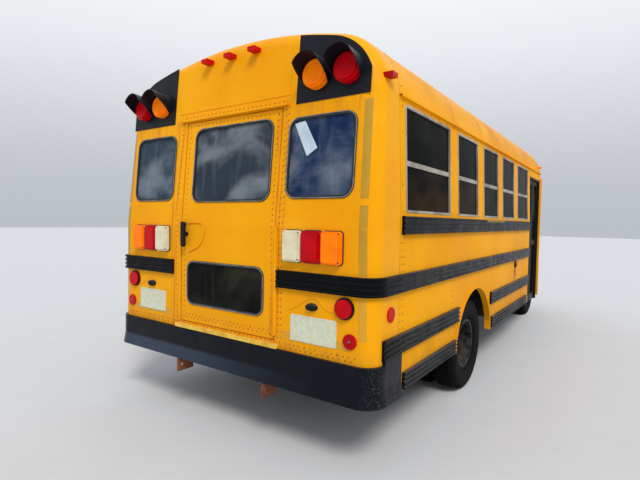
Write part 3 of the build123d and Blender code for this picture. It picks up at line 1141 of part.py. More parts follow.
# Benches down both sides, the driver's seat, dashboard and steering wheel
frames = []
pads = []
post_y = (BENCH_Y[0] + POST_Y[0], BENCH_Y[0] + POST_Y[1])
under_z = SEAT_Z - CUSHION_T
tray_z = under_z - 30
for row in range(BENCH_COUNT):
    x = BENCH_START + BENCH_PITCH * row
    frame = block(x + 95, x + 470, BENCH_Y[0] + 20, INNER_Y - SEAT_GAP, tray_z, under_z - SEAT_GAP)
    for leg in (x + 120, x + 420):
        frame += block(leg, leg + LEG_W, *post_y, FLOOR_TOP, tray_z)
    frame += block(x + 40, x + 62, *post_y, tray_z, SEAT_Z + 100)
    frame += block(x + 40, x + 120, *post_y, tray_z, tray_z + 28)
    frames.append(frame)
    slot = (x + 40 - SEAT_GAP, x + 62 + SEAT_GAP, post_y[0] - SEAT_GAP, post_y[1] + SEAT_GAP)
    back = block(x, x + BACK_T, *BENCH_Y, SEAT_Z - 90, SEAT_Z + BACK_RISE)
    pads.append(back - block(*slot, tray_z, SEAT_Z + 100 + SEAT_GAP))
    pads.append(block(x + BACK_T + RUN_GAP, x + BENCH_DEPTH, *BENCH_Y, under_z, SEAT_Z))
seat_y = (DRIVER_SEAT_Y - DRIVER_SEAT_W / 2, DRIVER_SEAT_Y + DRIVER_SEAT_W / 2)
seat_x = DRIVER_SEAT_X
driver_seat = block(seat_x, seat_x + 110, *seat_y, SEAT_Z - 60, SEAT_Z + 650)
driver_seat += block(seat_x, seat_x + 520, *seat_y, SEAT_Z - 130, SEAT_Z - 60)
driver_seat += block(seat_x + 110, seat_x + 520, *seat_y, SEAT_Z - 60, SEAT_Z)
NODES["seats"] = join(pair(join(*pads)), driver_seat)
pedestal = block(seat_x + 90, seat_x + 430, seat_y[0] + 70, seat_y[1] - 70, FLOOR_TOP, SEAT_Z - 130)
NODES["seat_frames"] = join(pair(join(*frames)), pedestal)
dash_x = FENDER_REAR - 80
dash_top, dash_low = DASH_Z
dash_profile = [
    (dash_x, dash_top - 65), (dash_x + 80, dash_top), (dash_x + 360, dash_top), (dash_x + 360, dash_low),
    (dash_x + 140, dash_low - 80), (dash_x + 30, dash_low - 30),
]
dash = along_y(dash_profile, 30 - dash_half, dash_half - 30)
wheel_at = Vector(FENDER_REAR - 230, DRIVER_SEAT_Y, dash_top + 105)
tilt = Plane(origin=wheel_at, z_dir=(-cos(radians(WHEEL_TILT)), 0, sin(radians(WHEEL_TILT))))
steering = tilt * Torus(WHEEL_R, 13)
steering += extrude(tilt * Circle(26), amount=-250)
for angle in (90, 210, 330):
    steering += tilt * Rot(0, 0, angle) * Pos(WHEEL_R / 2, 0, 0) * Box(WHEEL_R, 26, 12)
NODES["dashboard"] = dash + steering

# Mirrors on arms from the fenders, stop sign on its bracket, tow eyes under the rear bumper
head_w, head_h, head_t = MIRROR_HEAD
arm_x = (FENDER_REAR + 60, FENDER_REAR + 90)
post_y = (CAB_HALF + MIRROR_OUT, CAB_HALF + MIRROR_OUT + MIRROR_POST)
head_y = (post_y[1] + MIRROR_GAP, post_y[1] + MIRROR_GAP + head_w)
head_z = (CAB_BELT_Z - 15, CAB_BELT_Z - 15 + head_h)
foot_z = head_z[0] - 150
arm = block(*arm_x, CAB_HALF - 15, post_y[0], foot_z, foot_z + 35)
arm += block(*arm_x, *post_y, foot_z, head_z[1] - 40)
for z in (head_z[0] + 50, head_z[1] - 80):
    arm += block(*arm_x, post_y[1], head_y[0] + 20, z, z + 30)
arm -= nose
head = block(arm_x[0] - head_t, arm_x[0], *head_y, *head_z)
head = fillet(head.edges().filter_by(Axis.X), 30)
NODES["mirrors"] = pair(arm + head)

stop_x = CAB_REAR - STOP_BACK
blade_y = HALF_WIDTH + STOP_OUT
pin_r, pin_half = STOP_PIN
plane = Plane(origin=(stop_x - 30 - STOP_ACROSS / 2, blade_y, STOP_Z), x_dir=(1, 0, 0), z_dir=(0, 1, 0))
octagon = plane * RegularPolygon(STOP_ACROSS / 2, 8, major_radius=False)
sign = extrude(octagon, amount=STOP_T)
sign += block(stop_x - 60, stop_x, blade_y, blade_y + STOP_T, STOP_Z - 40, STOP_Z + 40)
sign += rod(stop_x, blade_y + STOP_T / 2, STOP_Z - pin_half, pin_r, 2 * pin_half, (0, 0, 1))
NODES["stop_sign"] = sign
mount = block(stop_x - 20, stop_x + 20, HALF_WIDTH, HALF_WIDTH + 10, STOP_Z - 100, STOP_Z + 100)
for z0, z1 in ((STOP_Z - 100, STOP_Z - pin_half - SEAT_GAP), (STOP_Z + pin_half + SEAT_GAP, STOP_Z + 100)):
    mount += block(stop_x - 20, stop_x + 20, HALF_WIDTH, HALF_WIDTH + 50, z0, z1)
    mount += block(stop_x - 12, stop_x + 12, HALF_WIDTH + 50, HALF_WIDTH + 72, z0, z1)
NODES["stop_sign_mount"] = mount

tow_x, tow_z = TOW_AT
tow_y = RAIL_Y[0] + 30
eye = block(tow_x - 40, WALL + TOW_FOOT, tow_y, tow_y + TOW_T, tow_z - 45, SKIRT_Z - RUN_GAP)
eye += block(WALL, WALL + TOW_FOOT, tow_y, tow_y + TOW_T, tow_z, RAIL_Z[0])
eye -= rod(tow_x, tow_y - 1, tow_z, TOW_R, TOW_T + 2, (0, 1, 0))
NODES["tow_eyes"] = pair(eye)

part_count = {name: len(shape.solids()) for name, shape in NODES.items()}
print(len(NODES), "nodes", part_count)
rear_end = min(shape.bounding_box().min.X for shape in NODES.values())
front_end = max(shape.bounding_box().max.X for shape in NODES.values())
x_centre = (rear_end + front_end) / 2
print("wheelbase", FRONT_AXLE_X - REAR_AXLE_X, "ends", rear_end, front_end, "centre", x_centre)

os.makedirs("parts", exist_ok=True)
for name, shape in NODES.items():
    export_step(Pos(-x_centre, 0, 0) * shape, f"parts/{name}.step")
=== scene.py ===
# %% [markdown]
# A short yellow school bus: a boxy steel body on a van chassis. The pieces at their real size
# come packed from the construction model, so this notebook never moves them. It gives every
# surface a finish and adds what is too small or too soft for the construction: rivets, tyre
# tread, padded benches, plates, reflective tape and the like.

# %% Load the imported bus
import math

import bmesh
import bpy
from mathutils import Matrix, Vector
from mathutils.bvhtree import BVHTree


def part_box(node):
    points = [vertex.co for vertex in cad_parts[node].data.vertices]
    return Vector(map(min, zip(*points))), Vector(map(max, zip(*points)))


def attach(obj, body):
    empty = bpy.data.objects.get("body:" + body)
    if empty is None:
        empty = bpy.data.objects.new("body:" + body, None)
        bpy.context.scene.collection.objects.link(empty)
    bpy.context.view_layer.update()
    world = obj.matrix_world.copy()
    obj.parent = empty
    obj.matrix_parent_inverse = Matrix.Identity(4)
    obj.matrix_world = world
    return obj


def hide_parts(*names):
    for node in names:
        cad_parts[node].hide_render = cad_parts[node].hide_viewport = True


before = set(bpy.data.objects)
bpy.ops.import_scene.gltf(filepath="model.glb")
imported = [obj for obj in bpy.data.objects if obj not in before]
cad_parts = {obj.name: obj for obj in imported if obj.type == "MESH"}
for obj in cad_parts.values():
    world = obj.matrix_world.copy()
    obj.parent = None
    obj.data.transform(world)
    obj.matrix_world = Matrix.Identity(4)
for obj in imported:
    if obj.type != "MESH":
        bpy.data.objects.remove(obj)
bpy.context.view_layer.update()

# %% [markdown]
# Places on a bus are easiest to give from its rear wall: so far ahead of the wall, so far to
# the left, so high. The seam between the rear cap and the side walls is 310 mm ahead of the
# wall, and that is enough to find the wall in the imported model.

# %% Places measured from the rear wall
SEAM = 0.310
WALL_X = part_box("side_wall_right")[0].x - SEAM
HALF = 1.219
KNEE = 1.450
LEAN = math.radians(4.7)
TYRE_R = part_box("front_tyre_left")[1].z / 2
REAR_AXLE = 1.885
FRONT_AXLE = 5.898
FORWARD, BACKWARD = Vector((1, 0, 0)), Vector((-1, 0, 0))
LEFTWARD, RIGHTWARD = Vector((0, 1, 0)), Vector((0, -1, 0))


def at(x, y, z):
    """A point x metres ahead of the rear wall."""
    return Vector((WALL_X + x, y, z))


def on_rear(y, z, proud=0.0):
    """A point on the rear wall, which leans forward above its knee."""
    return at(max(0.0, z - KNEE) * math.tan(LEAN) - proud, y, z)


print("rear wall at x =", round(WALL_X, 4))

# %% [markdown]
# The camera stands behind the bus's right rear corner at eye height. Its place, turn and lens
# were solved from the photograph's straight edges, so here they are only numbers: yaw turns it
# towards the bus's left, pitch tips it down, roll leans it.

# %% Camera
EYE = at(-2.194, -2.370, 1.491)
YAW, PITCH, ROLL = (math.radians(a) for a in (34.83, -2.44, 1.03))
ahead = Vector((math.cos(YAW) * math.cos(PITCH), math.sin(YAW) * math.cos(PITCH), math.sin(PITCH)))
level_right = Vector((math.sin(YAW), -math.cos(YAW), 0.0))
level_up = level_right.cross(ahead)
right = level_right * math.cos(ROLL) + level_up * math.sin(ROLL)
up = level_up * math.cos(ROLL) - level_right * math.sin(ROLL)
camera = bpy.data.objects.new("camera", bpy.data.cameras.new("camera"))
camera.data.lens = 25.24
camera.data.sensor_width = 36.0
camera.matrix_world = Matrix.Translation(EYE) @ Matrix((right, up, -ahead)).transposed().to_4x4()
bpy.context.scene.collection.objects.link(camera)
bpy.context.scene.camera = camera
bpy.context.scene.view_settings.view_transform = "Standard"
print("camera at", [round(v, 3) for v in camera.location])

# %% [markdown]
# Finishes and rivets are node trees, which are long to write out. `node` adds one node to any
# tree and fills its sockets with numbers or links. Colours are given as a screen shows them,
# because that is how one picks them, and `shade` turns them into the linear light of a shader.

# %% One node, one colour
def shade(red, green, blue):
    """A colour as a screen shows it, 0 to 255, turned into Blender's linear values."""
    def linear(value):
        value /= 255.0
        return value / 12.92 if value <= 0.04045 else ((value + 0.055) / 1.055) ** 2.4
    return (linear(red), linear(green), linear(blue), 1.0)


def node(tree, kind, inputs=None, out=0, **settings):
    made = tree.nodes.new(kind)
    for key, value in settings.items():
        setattr(made, key, value)
    for key, value in (inputs or {}).items():
        if isinstance(value, bpy.types.NodeSocket):
            tree.links.new(value, made.inputs[key])
        else:
            made.inputs[key].default_value = value
    return made.outputs[out]


print("a mid grey in linear light:", [round(v, 3) for v in shade(128, 128, 128)])

# %% [markdown]
# `Shading` wraps the shader nodes that are needed most: sums, a smooth step between two levels,
# a band between two edges, and a mix of two colours. Masks are multiplied, so a stain shows only
# where all its masks allow it.

# %% Helpers for shader trees
class Shading:
    def __init__(self, tree):
        self.tree = tree

    def node(self, kind, inputs=None, out=0, **settings):
        return node(self.tree, "ShaderNode" + kind, inputs, out, **settings)

    def calc(self, operation, a, b=0.0):
        return self.node("Math", {0: a, 1: b}, operation=operation)

    def times(self, *masks):
        """All masks multiplied."""
        total = masks[0]
        for mask in masks[1:]:
            total = self.calc("MULTIPLY", total, mask)
        return total

    def mix(self, amount, a, b):
        """Colours of three numbers are screen values, those of four are linear."""
        a, b = [shade(*c) if isinstance(c, tuple) and len(c) == 3 else c for c in (a, b)]
        return self.node("Mix", {0: amount, 6: a, 7: b}, out=2, data_type="RGBA")

    def step(self, value, low, high, top=1.0):
        """Rises smoothly from 0 at low to top at high; low may be the larger of the two."""
        knobs = {"Value": value, "From Min": low, "From Max": high, "To Max": top}
        return self.node("MapRange", knobs, interpolation_type="SMOOTHSTEP")

    def band(self, value, low, high, soft):
        """1 between low and high, with soft edges."""
        rise = self.step(value, low - soft, low + soft)
        return self.times(rise, self.step(value, high + soft, high - soft))

    def spread(self, value, low, high, start=0.0, end=1.0):
        """Values from start to end spread evenly over low to high."""
        return self.node("MapRange", {"Value": value, "From Min": start, "From Max": end,
                                      "To Min": low, "To Max": high})


print("shading helpers ready")

# %% [markdown]
# `Finish` is a material under way, as a painter works: it starts from one colour, and each `coat`
# lays another over it through its masks. Everything reads Object coordinates, which are metres on
# the bus, and never a picture, so the finish holds from near by and far off.

# %% A material under way
class Finish(Shading):
    """A Principled material; names given to it set the shader's own sockets."""
    def __init__(self, name, tone, **sockets):
        self.material = bpy.data.materials.new(name)
        self.material.use_nodes = True
        super().__init__(self.material.node_tree)
        self.shader = self.tree.nodes["Principled BSDF"]
        for key, value in sockets.items():
            self.shader.inputs[key.replace("_", " ")].default_value = value
        self.tone = tone
        self.where = self.node("TexCoord", out=3)
        self.x, self.y, self.z = [self.node("SeparateXYZ", {0: self.where}, out=i) for i in range(3)]
        self.ahead = self.calc("SUBTRACT", self.x, WALL_X)

    def noise(self, scale, detail=4.0, stretch=None, warp=0.0):
        where = self.node("Mapping", {"Vector": self.where, "Scale": stretch}) if stretch else self.where
        knobs = {"Vector": where, "Scale": scale, "Detail": detail, "Distortion": warp}
        return self.node("TexNoise", knobs)

    def patch(self, scale, detail, low, high, top=1.0, **shape):
        """Noise as a mask: 0 below low, top above high."""
        return self.step(self.noise(scale, detail, **shape), low, high, top)

    def coat(self, colour, *masks):
        self.tone = self.mix(self.times(*masks), self.tone, colour)

    def bump(self, height, distance, under=None):
        knobs = {"Height": height, "Distance": distance}
        if under:
            knobs["Normal"] = under
        return self.node("Bump", knobs)

    def done(self, **links):
        """Link the colour and these sockets to the shader."""
        for key, socket in {"Base_Color": self.tone, **links}.items():
            self.tree.links.new(socket, self.shader.inputs[key.replace("_", " ")])
        return self.material


print("finish helper ready")

# %% [markdown]
# Stage and light. The floor is plain and pale. The world is soft and even, and one broad sun
# stands behind the camera's right shoulder, so the side and the rear are both lit, as on the
# bright day of the photograph. Rays that come straight from the camera, a reflection or through
# glass see a pale backdrop instead, darker near the horizon, as open country is.

# %% Floor, world and sun
world = bpy.data.worlds.new("studio")
bpy.context.scene.world = world
world.use_nodes = True
world.node_tree.nodes.clear()
air = Shading(world.node_tree)
path = air.tree.nodes.new("ShaderNodeLightPath").outputs
direct = air.calc("MAXIMUM", path["Is Camera Ray"], path["Is Transmission Ray"])
seen = air.calc("MAXIMUM", direct, path["Is Glossy Ray"])
height = air.node("SeparateXYZ", {0: air.node("TexCoord")}, out=2)
sky = air.mix(air.step(height, -0.02, 0.55), (0.50, 0.53, 0.57, 1.0), (0.95, 0.97, 1.0, 1.0))
lit = air.node("Background", {"Color": (0.86, 0.92, 1.0, 1.0), "Strength": 0.72})
pale = air.node("Background", {"Color": sky, "Strength": 1.0})
both = air.node("MixShader", {0: seen, 1: lit, 2: pale})
air.tree.links.new(both, air.tree.nodes.new("ShaderNodeOutputWorld").inputs["Surface"])

REACH = 60.0
floor_mesh = bpy.data.meshes.new("studio_floor")
corners = [(-REACH, -REACH, 0), (REACH, -REACH, 0), (REACH, REACH, 0), (-REACH, REACH, 0)]
floor_mesh.from_pydata(corners, [], [(0, 1, 2, 3)])
studio_floor = bpy.data.objects.new("studio_floor", floor_mesh)
bpy.context.scene.collection.objects.link(studio_floor)
ground = Finish("pale_floor", (207, 208, 210), Roughness=0.9)
ground.coat((213, 214, 215), ground.noise(3.0, 6.0))
floor_mesh.materials.append(ground.done())

sun = bpy.data.objects.new("sun", bpy.data.lights.new("sun", "SUN"))
sun.data.energy = 1.9
sun.data.angle = math.radians(18)
sun.data.color = (1.0, 0.97, 0.92)
sun.rotation_euler = Vector((0.45, 0.50, -0.74)).to_track_quat("-Z", "Y").to_euler()
bpy.context.scene.collection.objects.link(sun)
print("stage ready")

# %% [markdown]
# The yellow enamel is most of what one sees, so it gets the most layers. From below to above:
# two close yellows in large soft patches, dirt that has run down the walls, a plain deeper orange
# that darkens towards the skirt with grime over it, rust tinges along the door posts, under the
# lamp panels and at the fuel filler, then dark hairlines where sheets meet. Because each imported
# piece sits at the origin, Object coordinates are plain metres on the bus, and a stain can be put
# where the real one is.
# The same sheets show a pale green primer inside, found by which way a face looks.

# %% Bus yellow
YELLOW = (250, 172, 14)
ROOF_SEAMS = (1.307, 2.053, 2.799, 3.558)


def bus_yellow(name, inner_axis=None, shine=0.06):
    f = Finish(name, YELLOW, Specular_IOR_Level=shine)
    off_middle = f.calc("ABSOLUTE", f.y)
    f.coat((240, 158, 8), f.patch(0.9, 5.0, 0.35, 0.65))
    f.coat((255, 192, 56), f.patch(2.2, 8.0, 0.56, 0.78, 0.28, warp=0.6))
    f.coat((206, 134, 28), f.patch(1.0, 7.0, 0.55, 0.78, 0.14, stretch=(16, 16, 0.8)))
    f.coat((190, 128, 40), f.patch(90.0, 3.0, 0.66, 0.74, 0.5))
    low = f.step(f.z, 0.95, 0.40)
    # a plain deeper orange that darkens the wall towards the bottom; grime lies over it on the next line
    f.coat((206, 124, 2), low, 0.30)
    f.coat((172, 122, 40), low, f.patch(5.0, 8.0, 0.30, 0.70, 0.50))
    overhead = f.times(f.step(f.z, 2.28, 2.40), f.step(off_middle, 1.0, 1.15))
    f.coat((196, 132, 44), overhead, f.patch(3.0, 9.0, 0.30, 0.72, 0.55))

    at_rear = f.step(f.ahead, 0.16, 0.09)
    streak = f.patch(1.0, 6.0, 0.46, 0.66, stretch=(30, 34, 1.1))
    door_posts = f.band(off_middle, 0.455, 0.565, 0.02)
    f.coat((196, 104, 30), at_rear, door_posts, f.band(f.z, 0.66, 2.24, 0.04), streak, 0.55)
    under_panel = f.band(f.z, 2.13, 2.222, 0.015)
    f.coat((205, 122, 48), at_rear, under_panel, f.band(off_middle, 0.56, 1.14, 0.02), streak, 0.35)
    f.coat((188, 112, 50), at_rear, f.band(f.z, 0.655, 0.72, 0.012), streak, 0.28)
    filler_x = f.band(f.ahead, 3.545, 3.655, 0.03)
    filler_z = f.band(f.z, 0.82, 1.02, 0.06)
    f.coat((92, 56, 26), f.step(f.y, -1.1, -1.2), filler_x, filler_z, f.patch(9.0, 4.0, 0.35, 0.6), 0.85)

    hairline = None
    for seam in (SEAM, *ROOF_SEAMS):
        top = 2.2 if seam > SEAM else 0.0
        line = f.times(f.band(f.ahead, seam - 0.0012, seam + 0.0012, 0.0012), f.step(f.z, top, top + 0.01))
        hairline = f.calc("MAXIMUM", hairline, line) if hairline else line
    f.coat((96, 62, 20), hairline, 0.75)

    waves = f.bump(f.noise(2.6, 2.0), 0.012)
    normal = f.bump(hairline, -0.003, f.bump(f.noise(420.0, 2.0), 0.0002, waves))
    if inner_axis:
        facing = f.node("NewGeometry", out=3)
        outward_way = f.node("VectorMath", {0: f.where, 1: inner_axis}, operation="MULTIPLY")
        dot = f.node("VectorMath", {0: facing, 1: outward_way}, out=1, operation="DOT_PRODUCT")
        primer = f.mix(f.noise(6.0), (150, 158, 138), (124, 132, 116))
        f.coat(primer, f.step(dot, -0.25, -0.45))
    return f.done(Roughness=f.spread(f.noise(3.0, 6.0), 0.30, 0.46, 0.3, 0.7), Normal=normal)


side_yellow = bus_yellow("yellow_side_sheet", (0.0, 1.0, 0.0), shine=0.015)
roof_yellow = bus_yellow("yellow_roof_sheet", (0.0, 0.6, 0.5), shine=0.03)
rear_yellow = bus_yellow("yellow_rear_sheet", (0.2, 0.55, 0.0))
plain_yellow = bus_yellow("yellow_door_sheet")
print("yellow finishes:", len(bpy.data.materials) - 1)

# %% [markdown]
# Wheels and tyres wear in rings, so their finishes need the distance from the nearest axle. It
# is worked out from Object coordinates, for both axles, and the smaller one is kept.

# %% Distance from the nearest axle
def from_axle(f):
    reaches = []
    for axle in (REAR_AXLE, FRONT_AXLE):
        across = f.calc("SUBTRACT", f.ahead, axle)
        rise = f.calc("SUBTRACT", f.z, TYRE_R)
        squares = f.calc("ADD", f.times(across, across), f.times(rise, rise))
        reaches.append(f.calc("SQRT", squares))
    return f.calc("MINIMUM", *reaches)


print("axles at", REAR_AXLE, "and", FRONT_AXLE)

# %% [markdown]
# Black enamel covers the rails, bumper and lamp panels. It isn't one black: whatever faces up is
# paler, partly dust and partly a painted highlight, long scratches run along it, the bumper's
# flare carries a painted sky reflection and its rear corner has been rubbed pale. The normal's Z
# gives the dust and painted highlight, stretched noise the scratches, and masks in bus coordinates
# the painted reflection and the rubbed corner.

# %% Black paints
def black_paint(name, colour, dust_and_highlight, gloss, worn=0.0, ringed=False, shine=0.16):
    f = Finish(name, colour, Specular_IOR_Level=shine)
    looks_up = f.node("SeparateXYZ", {0: f.node("NewGeometry", out=1)}, out=2)
    fine = f.noise(14.0, 8.0)
    f.coat((96, 96, 98), f.patch(2.4, 7.0, 0.42, 0.75, 0.08 * dust_and_highlight + 0.01, warp=0.5))
    # faces that look up turn a paler grey: partly dust, partly a painted highlight
    f.coat((118, 120, 124), f.step(looks_up, 0.2, 0.95), f.patch(2.6, 3.0, 0.2, 0.7, dust_and_highlight))
    f.coat((84, 86, 90), f.patch(1.0, 5.0, 0.66, 0.72, 0.10, stretch=(2.5, 2.5, 160)))
    if worn:
        corner = f.times(f.step(f.ahead, 0.42, 0.25), f.step(f.y, -1.12, -1.22), f.step(f.z, 0.72, 0.60))
        f.coat((142, 142, 142), corner, f.patch(130.0, 8.0, 0.54, 0.66, warp=0.4), worn)
        # painted sky reflection on the bumper's flare, paler towards the left; it comes on with the rubbed
        # corner
        f.coat((66, 78, 98), f.step(f.z, 0.535, 0.505), f.step(f.y, -0.90, 0.70), 0.60)
    if ringed:
        reach = from_axle(f)
        lips = f.calc("MAXIMUM", f.band(reach, 0.196, 0.212, 0.004), f.band(reach, 0.148, 0.153, 0.002))
        f.coat((88, 82, 76), lips, f.step(fine, 0.35, 0.6, 0.7))
    dents = f.bump(f.noise(5.0, 2.0), 0.006)
    rough = f.spread(fine, gloss, gloss + 0.22, 0.3, 0.7)
    return f.done(Roughness=rough, Normal=f.bump(fine, 0.0004, dents))


rail_black = black_paint("rail_black", (3, 5, 8), 0.36, 0.22, shine=0.10)
# the bumper's black is tinted blue, a painted sky reflection on real black paint
bumper_black = black_paint("bumper_black", (4, 9, 18), 0.12, 0.24, worn=0.22, shine=0.14)
lamp_black = black_paint("lamp_panel_black", (17, 20, 28), 0.25, 0.32)
frame_black = black_paint("door_frame_black", (16, 16, 17), 0.25, 0.36)
wheel_black = black_paint("wheel_black", (17, 17, 20), 0.22, 0.44, ringed=True)
print("black paints ready")

# %% [markdown]
# Window sashes are bare aluminium, drawn through a die, so fine lines run along them and the
# metal has dulled in cloudy patches. The dull skin of oxide is why Metallic stays below 1. The
# same few knobs, with rust for some, give steel, iron, screws, mirrors and enamelled signs.

# %% Aluminium, chassis steel, cast iron, rusty steel and red paint
def metal(name, light, dark, scale, metallic, rough, lines=(1, 1, 1), rust=0.0, pits=0.0003):
    f = Finish(name, light, Metallic=metallic)
    cloud = f.patch(scale, 7.0, 0.35, 0.68, warp=0.3)
    f.coat(dark, cloud)
    f.coat(dark, f.patch(40.0, 3.0, 0.45, 0.75, 0.3, stretch=lines))
    if rust:
        f.coat((122, 66, 34), f.patch(7.0, 9.0, 0.50, 0.66, rust, warp=0.7))
    return f.done(Roughness=f.spread(cloud, rough, rough + 0.2), Normal=f.bump(f.noise(150.0, 4.0), pits))


sash_metal = metal("sash_aluminium", (188, 180, 166), (136, 128, 114), 4.0, 0.45, 0.34, lines=(0.1, 6, 6))
chassis_steel = metal("chassis_steel", (52, 50, 48), (34, 33, 32), 3.0, 0.0, 0.60, rust=0.55, pits=0.002)
cast_iron = metal("cast_iron", (92, 86, 80), (64, 58, 54), 9.0, 0.0, 0.62, rust=0.6, pits=0.003)
pipe_steel = metal("pipe_steel", (128, 112, 96), (84, 66, 52), 5.0, 0.6, 0.5, rust=0.8)
rusty_steel = metal("rusty_steel", (134, 78, 44), (84, 50, 32), 12.0, 0.0, 0.8, rust=0.7, pits=0.003)
bolt_steel = metal("bolt_steel", (150, 148, 142), (88, 84, 78), 30.0, 0.7, 0.45, rust=0.3)
stop_red = metal("stop_sign_red", (176, 22, 26), (150, 18, 22), 2.0, 0.0, 0.38)
stop_red.node_tree.nodes["Principled BSDF"].inputs["Coat Weight"].default_value = 0.3
print("metals ready")

# %% [markdown]
# Rubber and moulded plastic scatter light in tiny bumps. Tyres are browned by road dust, most
# of all on the sidewall below the shoulder, which a ring mask round each axle gives.

# %% Rubber and plastic
def matt(name, light, dark, scale, rough, grain, grain_depth):
    f = Finish(name, light, Specular_IOR_Level=0.4)
    cloud = f.patch(scale, 7.0, 0.35, 0.70, warp=0.4)
    f.coat(dark, cloud)
    fine = f.bump(f.noise(grain, 3.0), grain_depth)
    return f.done(Roughness=f.spread(cloud, rough, rough + 0.15), Normal=fine)


gasket_rubber = matt("gasket_rubber", (40, 41, 42), (26, 27, 28), 8.0, 0.55, 300.0, 0.0004)
floor_rubber = matt("floor_rubber", (64, 62, 58), (42, 41, 40), 3.0, 0.75, 120.0, 0.0015)
dark_plastic = matt("dark_plastic", (44, 44, 46), (32, 32, 34), 5.0, 0.5, 500.0, 0.0005)


def tyre_rubber():
    f = Finish("tyre_rubber", (16, 16, 18), Specular_IOR_Level=0.08)
    reach = from_axle(f)
    cloud = f.noise(7.0, 8.0, warp=0.4)
    f.coat((9, 9, 11), cloud)
    f.coat((34, 32, 30), f.band(reach, 0.24, 0.37, 0.03), f.step(cloud, 0.3, 0.7, 0.75))
    rings = f.times(f.calc("SINE", f.times(reach, 900.0)), f.band(reach, 0.235, 0.345, 0.01))
    normal = f.bump(rings, 0.0006, f.bump(f.noise(90.0, 5.0), 0.001))
    return f.done(Roughness=f.spread(f.step(cloud, 0.2, 0.8), 0.68, 0.9), Normal=normal)


tyre_black = tyre_rubber()
print("rubbers ready")

# %% [markdown]
# Glass: the rear panes carry a painted reflection of a cloudy sky, deep blue and pale grey, the side
# panes look into a dark inside and are nearly black, a painted shade of it, with a brown painted
# reflection in their lower part, and the pane at the door's foot is nearly black. A fully
# transparent pane renders slowly and exports badly, so the pane is a thin dark glossy sheet with an
# alpha: part of what is behind shows, and the shader's own reflection does the rest. Cloudy noise in
# colour and alpha is a painted sky reflection together with real haze and dust. All fixed panes are
# one packed piece, so the place tells rear panes, side panes and windshield apart.

# %% Glass
def glass(name, colour, reflection_and_haze, alpha, reflection_and_film, tail_sky_reflection=(), shine=0.05):
    f = Finish(name, colour, Roughness=0.04, Specular_IOR_Level=shine)
    # the cloudy veil is a painted sky reflection together with real haze and dust
    sky_reflection_and_dust = f.patch(2.1, 9.0, 0.42, 0.66, reflection_and_film, stretch=(1.0, 1.0, 1.5), warp=0.35)
    wiped = f.patch(1.0, 4.0, 0.5, 0.8, reflection_and_film * 0.4, stretch=(14, 14, 1.2))
    clear = f.mix(f.step(f.ahead, 4.9, 5.3), (alpha,) * 3 + (1.0,), (alpha * 0.55,) * 3 + (1.0,))
    if tail_sky_reflection:
        at_tail = f.step(f.ahead, 0.20, 0.17)
        # rear panes in the packed piece: a deep blue painted sky reflection, deeper on the right
        f.coat(f.mix(f.step(f.y, -0.1, 0.1), *tail_sky_reflection), at_tail)
        # side panes below 1.84 m: a brown painted reflection
        reflection_and_haze = f.mix(f.step(f.z, 1.90, 1.84), reflection_and_haze, (60, 44, 24))
        # rear panes: a pale grey painted cloud reflection
        reflection_and_haze = f.mix(at_tail, reflection_and_haze, (142, 151, 162))
        upper = f.times(f.step(f.z, 1.84, 1.90), f.step(f.ahead, 4.6, 4.5))
        clear = f.mix(upper, clear, (0.96, 0.96, 0.96, 1.0))
    low = f.step(f.z, 1.35, 1.30)
    f.coat((15, 15, 14), low)
    reflection_and_haze = f.mix(low, reflection_and_haze, (52, 50, 40))
    f.coat(reflection_and_haze, sky_reflection_and_dust)
    f.coat(reflection_and_haze, wiped)
    return f.done(Alpha=f.spread(sky_reflection_and_dust, clear, 0.95))


# rear_glass: blue grey with pale haze, a painted cloudy sky reflection
rear_glass = glass("rear_glass", (52, 60, 72), (124, 131, 138), 0.90, 0.90)
# side_glass: nearly black, a painted shade of the dark inside
side_glass = glass("side_glass", (7, 8, 7), (26, 32, 22), 0.90, 0.6,
                   tail_sky_reflection=((24, 46, 82), (58, 70, 84)), shine=0.012)
screen_glass = glass("door_glass", (30, 34, 38), (92, 94, 92), 0.62, 0.5)
print("glass ready")

# %% [markdown]
# Lamp lenses are moulded plastic that light passes through. Subsurface scattering gives that
# depth, a clear coat the gloss, and a fine grid of bumps the prisms moulded inside the lens. A
# faint emission in the lens's own colour, strongest on the amber ones, is a painted glow on lamps
# that are not lit.

# %% Lamp lenses
PRISM = 0.006


def lens(name, colour, deep, painted_glow=0.0):
    # the emission is a painted glow in the lens's own colour; these lamps are not lit
    f = Finish(name, colour, Roughness=0.25, Specular_IOR_Level=0.08, Coat_Weight=0.02, Coat_Roughness=0.05,
               Subsurface_Weight=0.05, Subsurface_Scale=0.01, Emission_Color=shade(*colour),
               Emission_Strength=painted_glow)
    across, rise = [f.calc("SINE", f.times(length, math.tau / PRISM)) for length in (f.y, f.z)]
    f.coat(deep, f.patch(11.0, 7.0, 0.42, 0.75, 0.6))
    return f.done(Normal=f.bump(f.times(across, rise), 0.0005))


red_lens = lens("red_lens", (200, 2, 18), (150, 2, 14), painted_glow=0.04)
amber_lens = lens("amber_lens", (250, 124, 2), (220, 96, 4), painted_glow=0.22)
clear_lens = lens("clear_lens", (236, 227, 194), (212, 198, 152))
print("lenses ready")

# %% [markdown]
# Bench covers are dark green vinyl with a leather-like grain, cracked and dulled where people
# sit. A cell texture gives the grain.

# %% Seat vinyl
def seat_cover():
    f = Finish("bench_vinyl", (52, 66, 50), Specular_IOR_Level=0.4)
    cells = f.node("TexVoronoi", {"Vector": f.where, "Scale": 260.0})
    worn = f.patch(3.5, 7.0, 0.42, 0.72)
    f.coat((76, 84, 68), worn)
    return f.done(Roughness=f.spread(worn, 0.38, 0.6), Normal=f.bump(cells, 0.0008))


bench_vinyl = seat_cover()
print("vinyl ready")

# %% [markdown]
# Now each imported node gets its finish. Only the node's material slot changes, never its mesh.

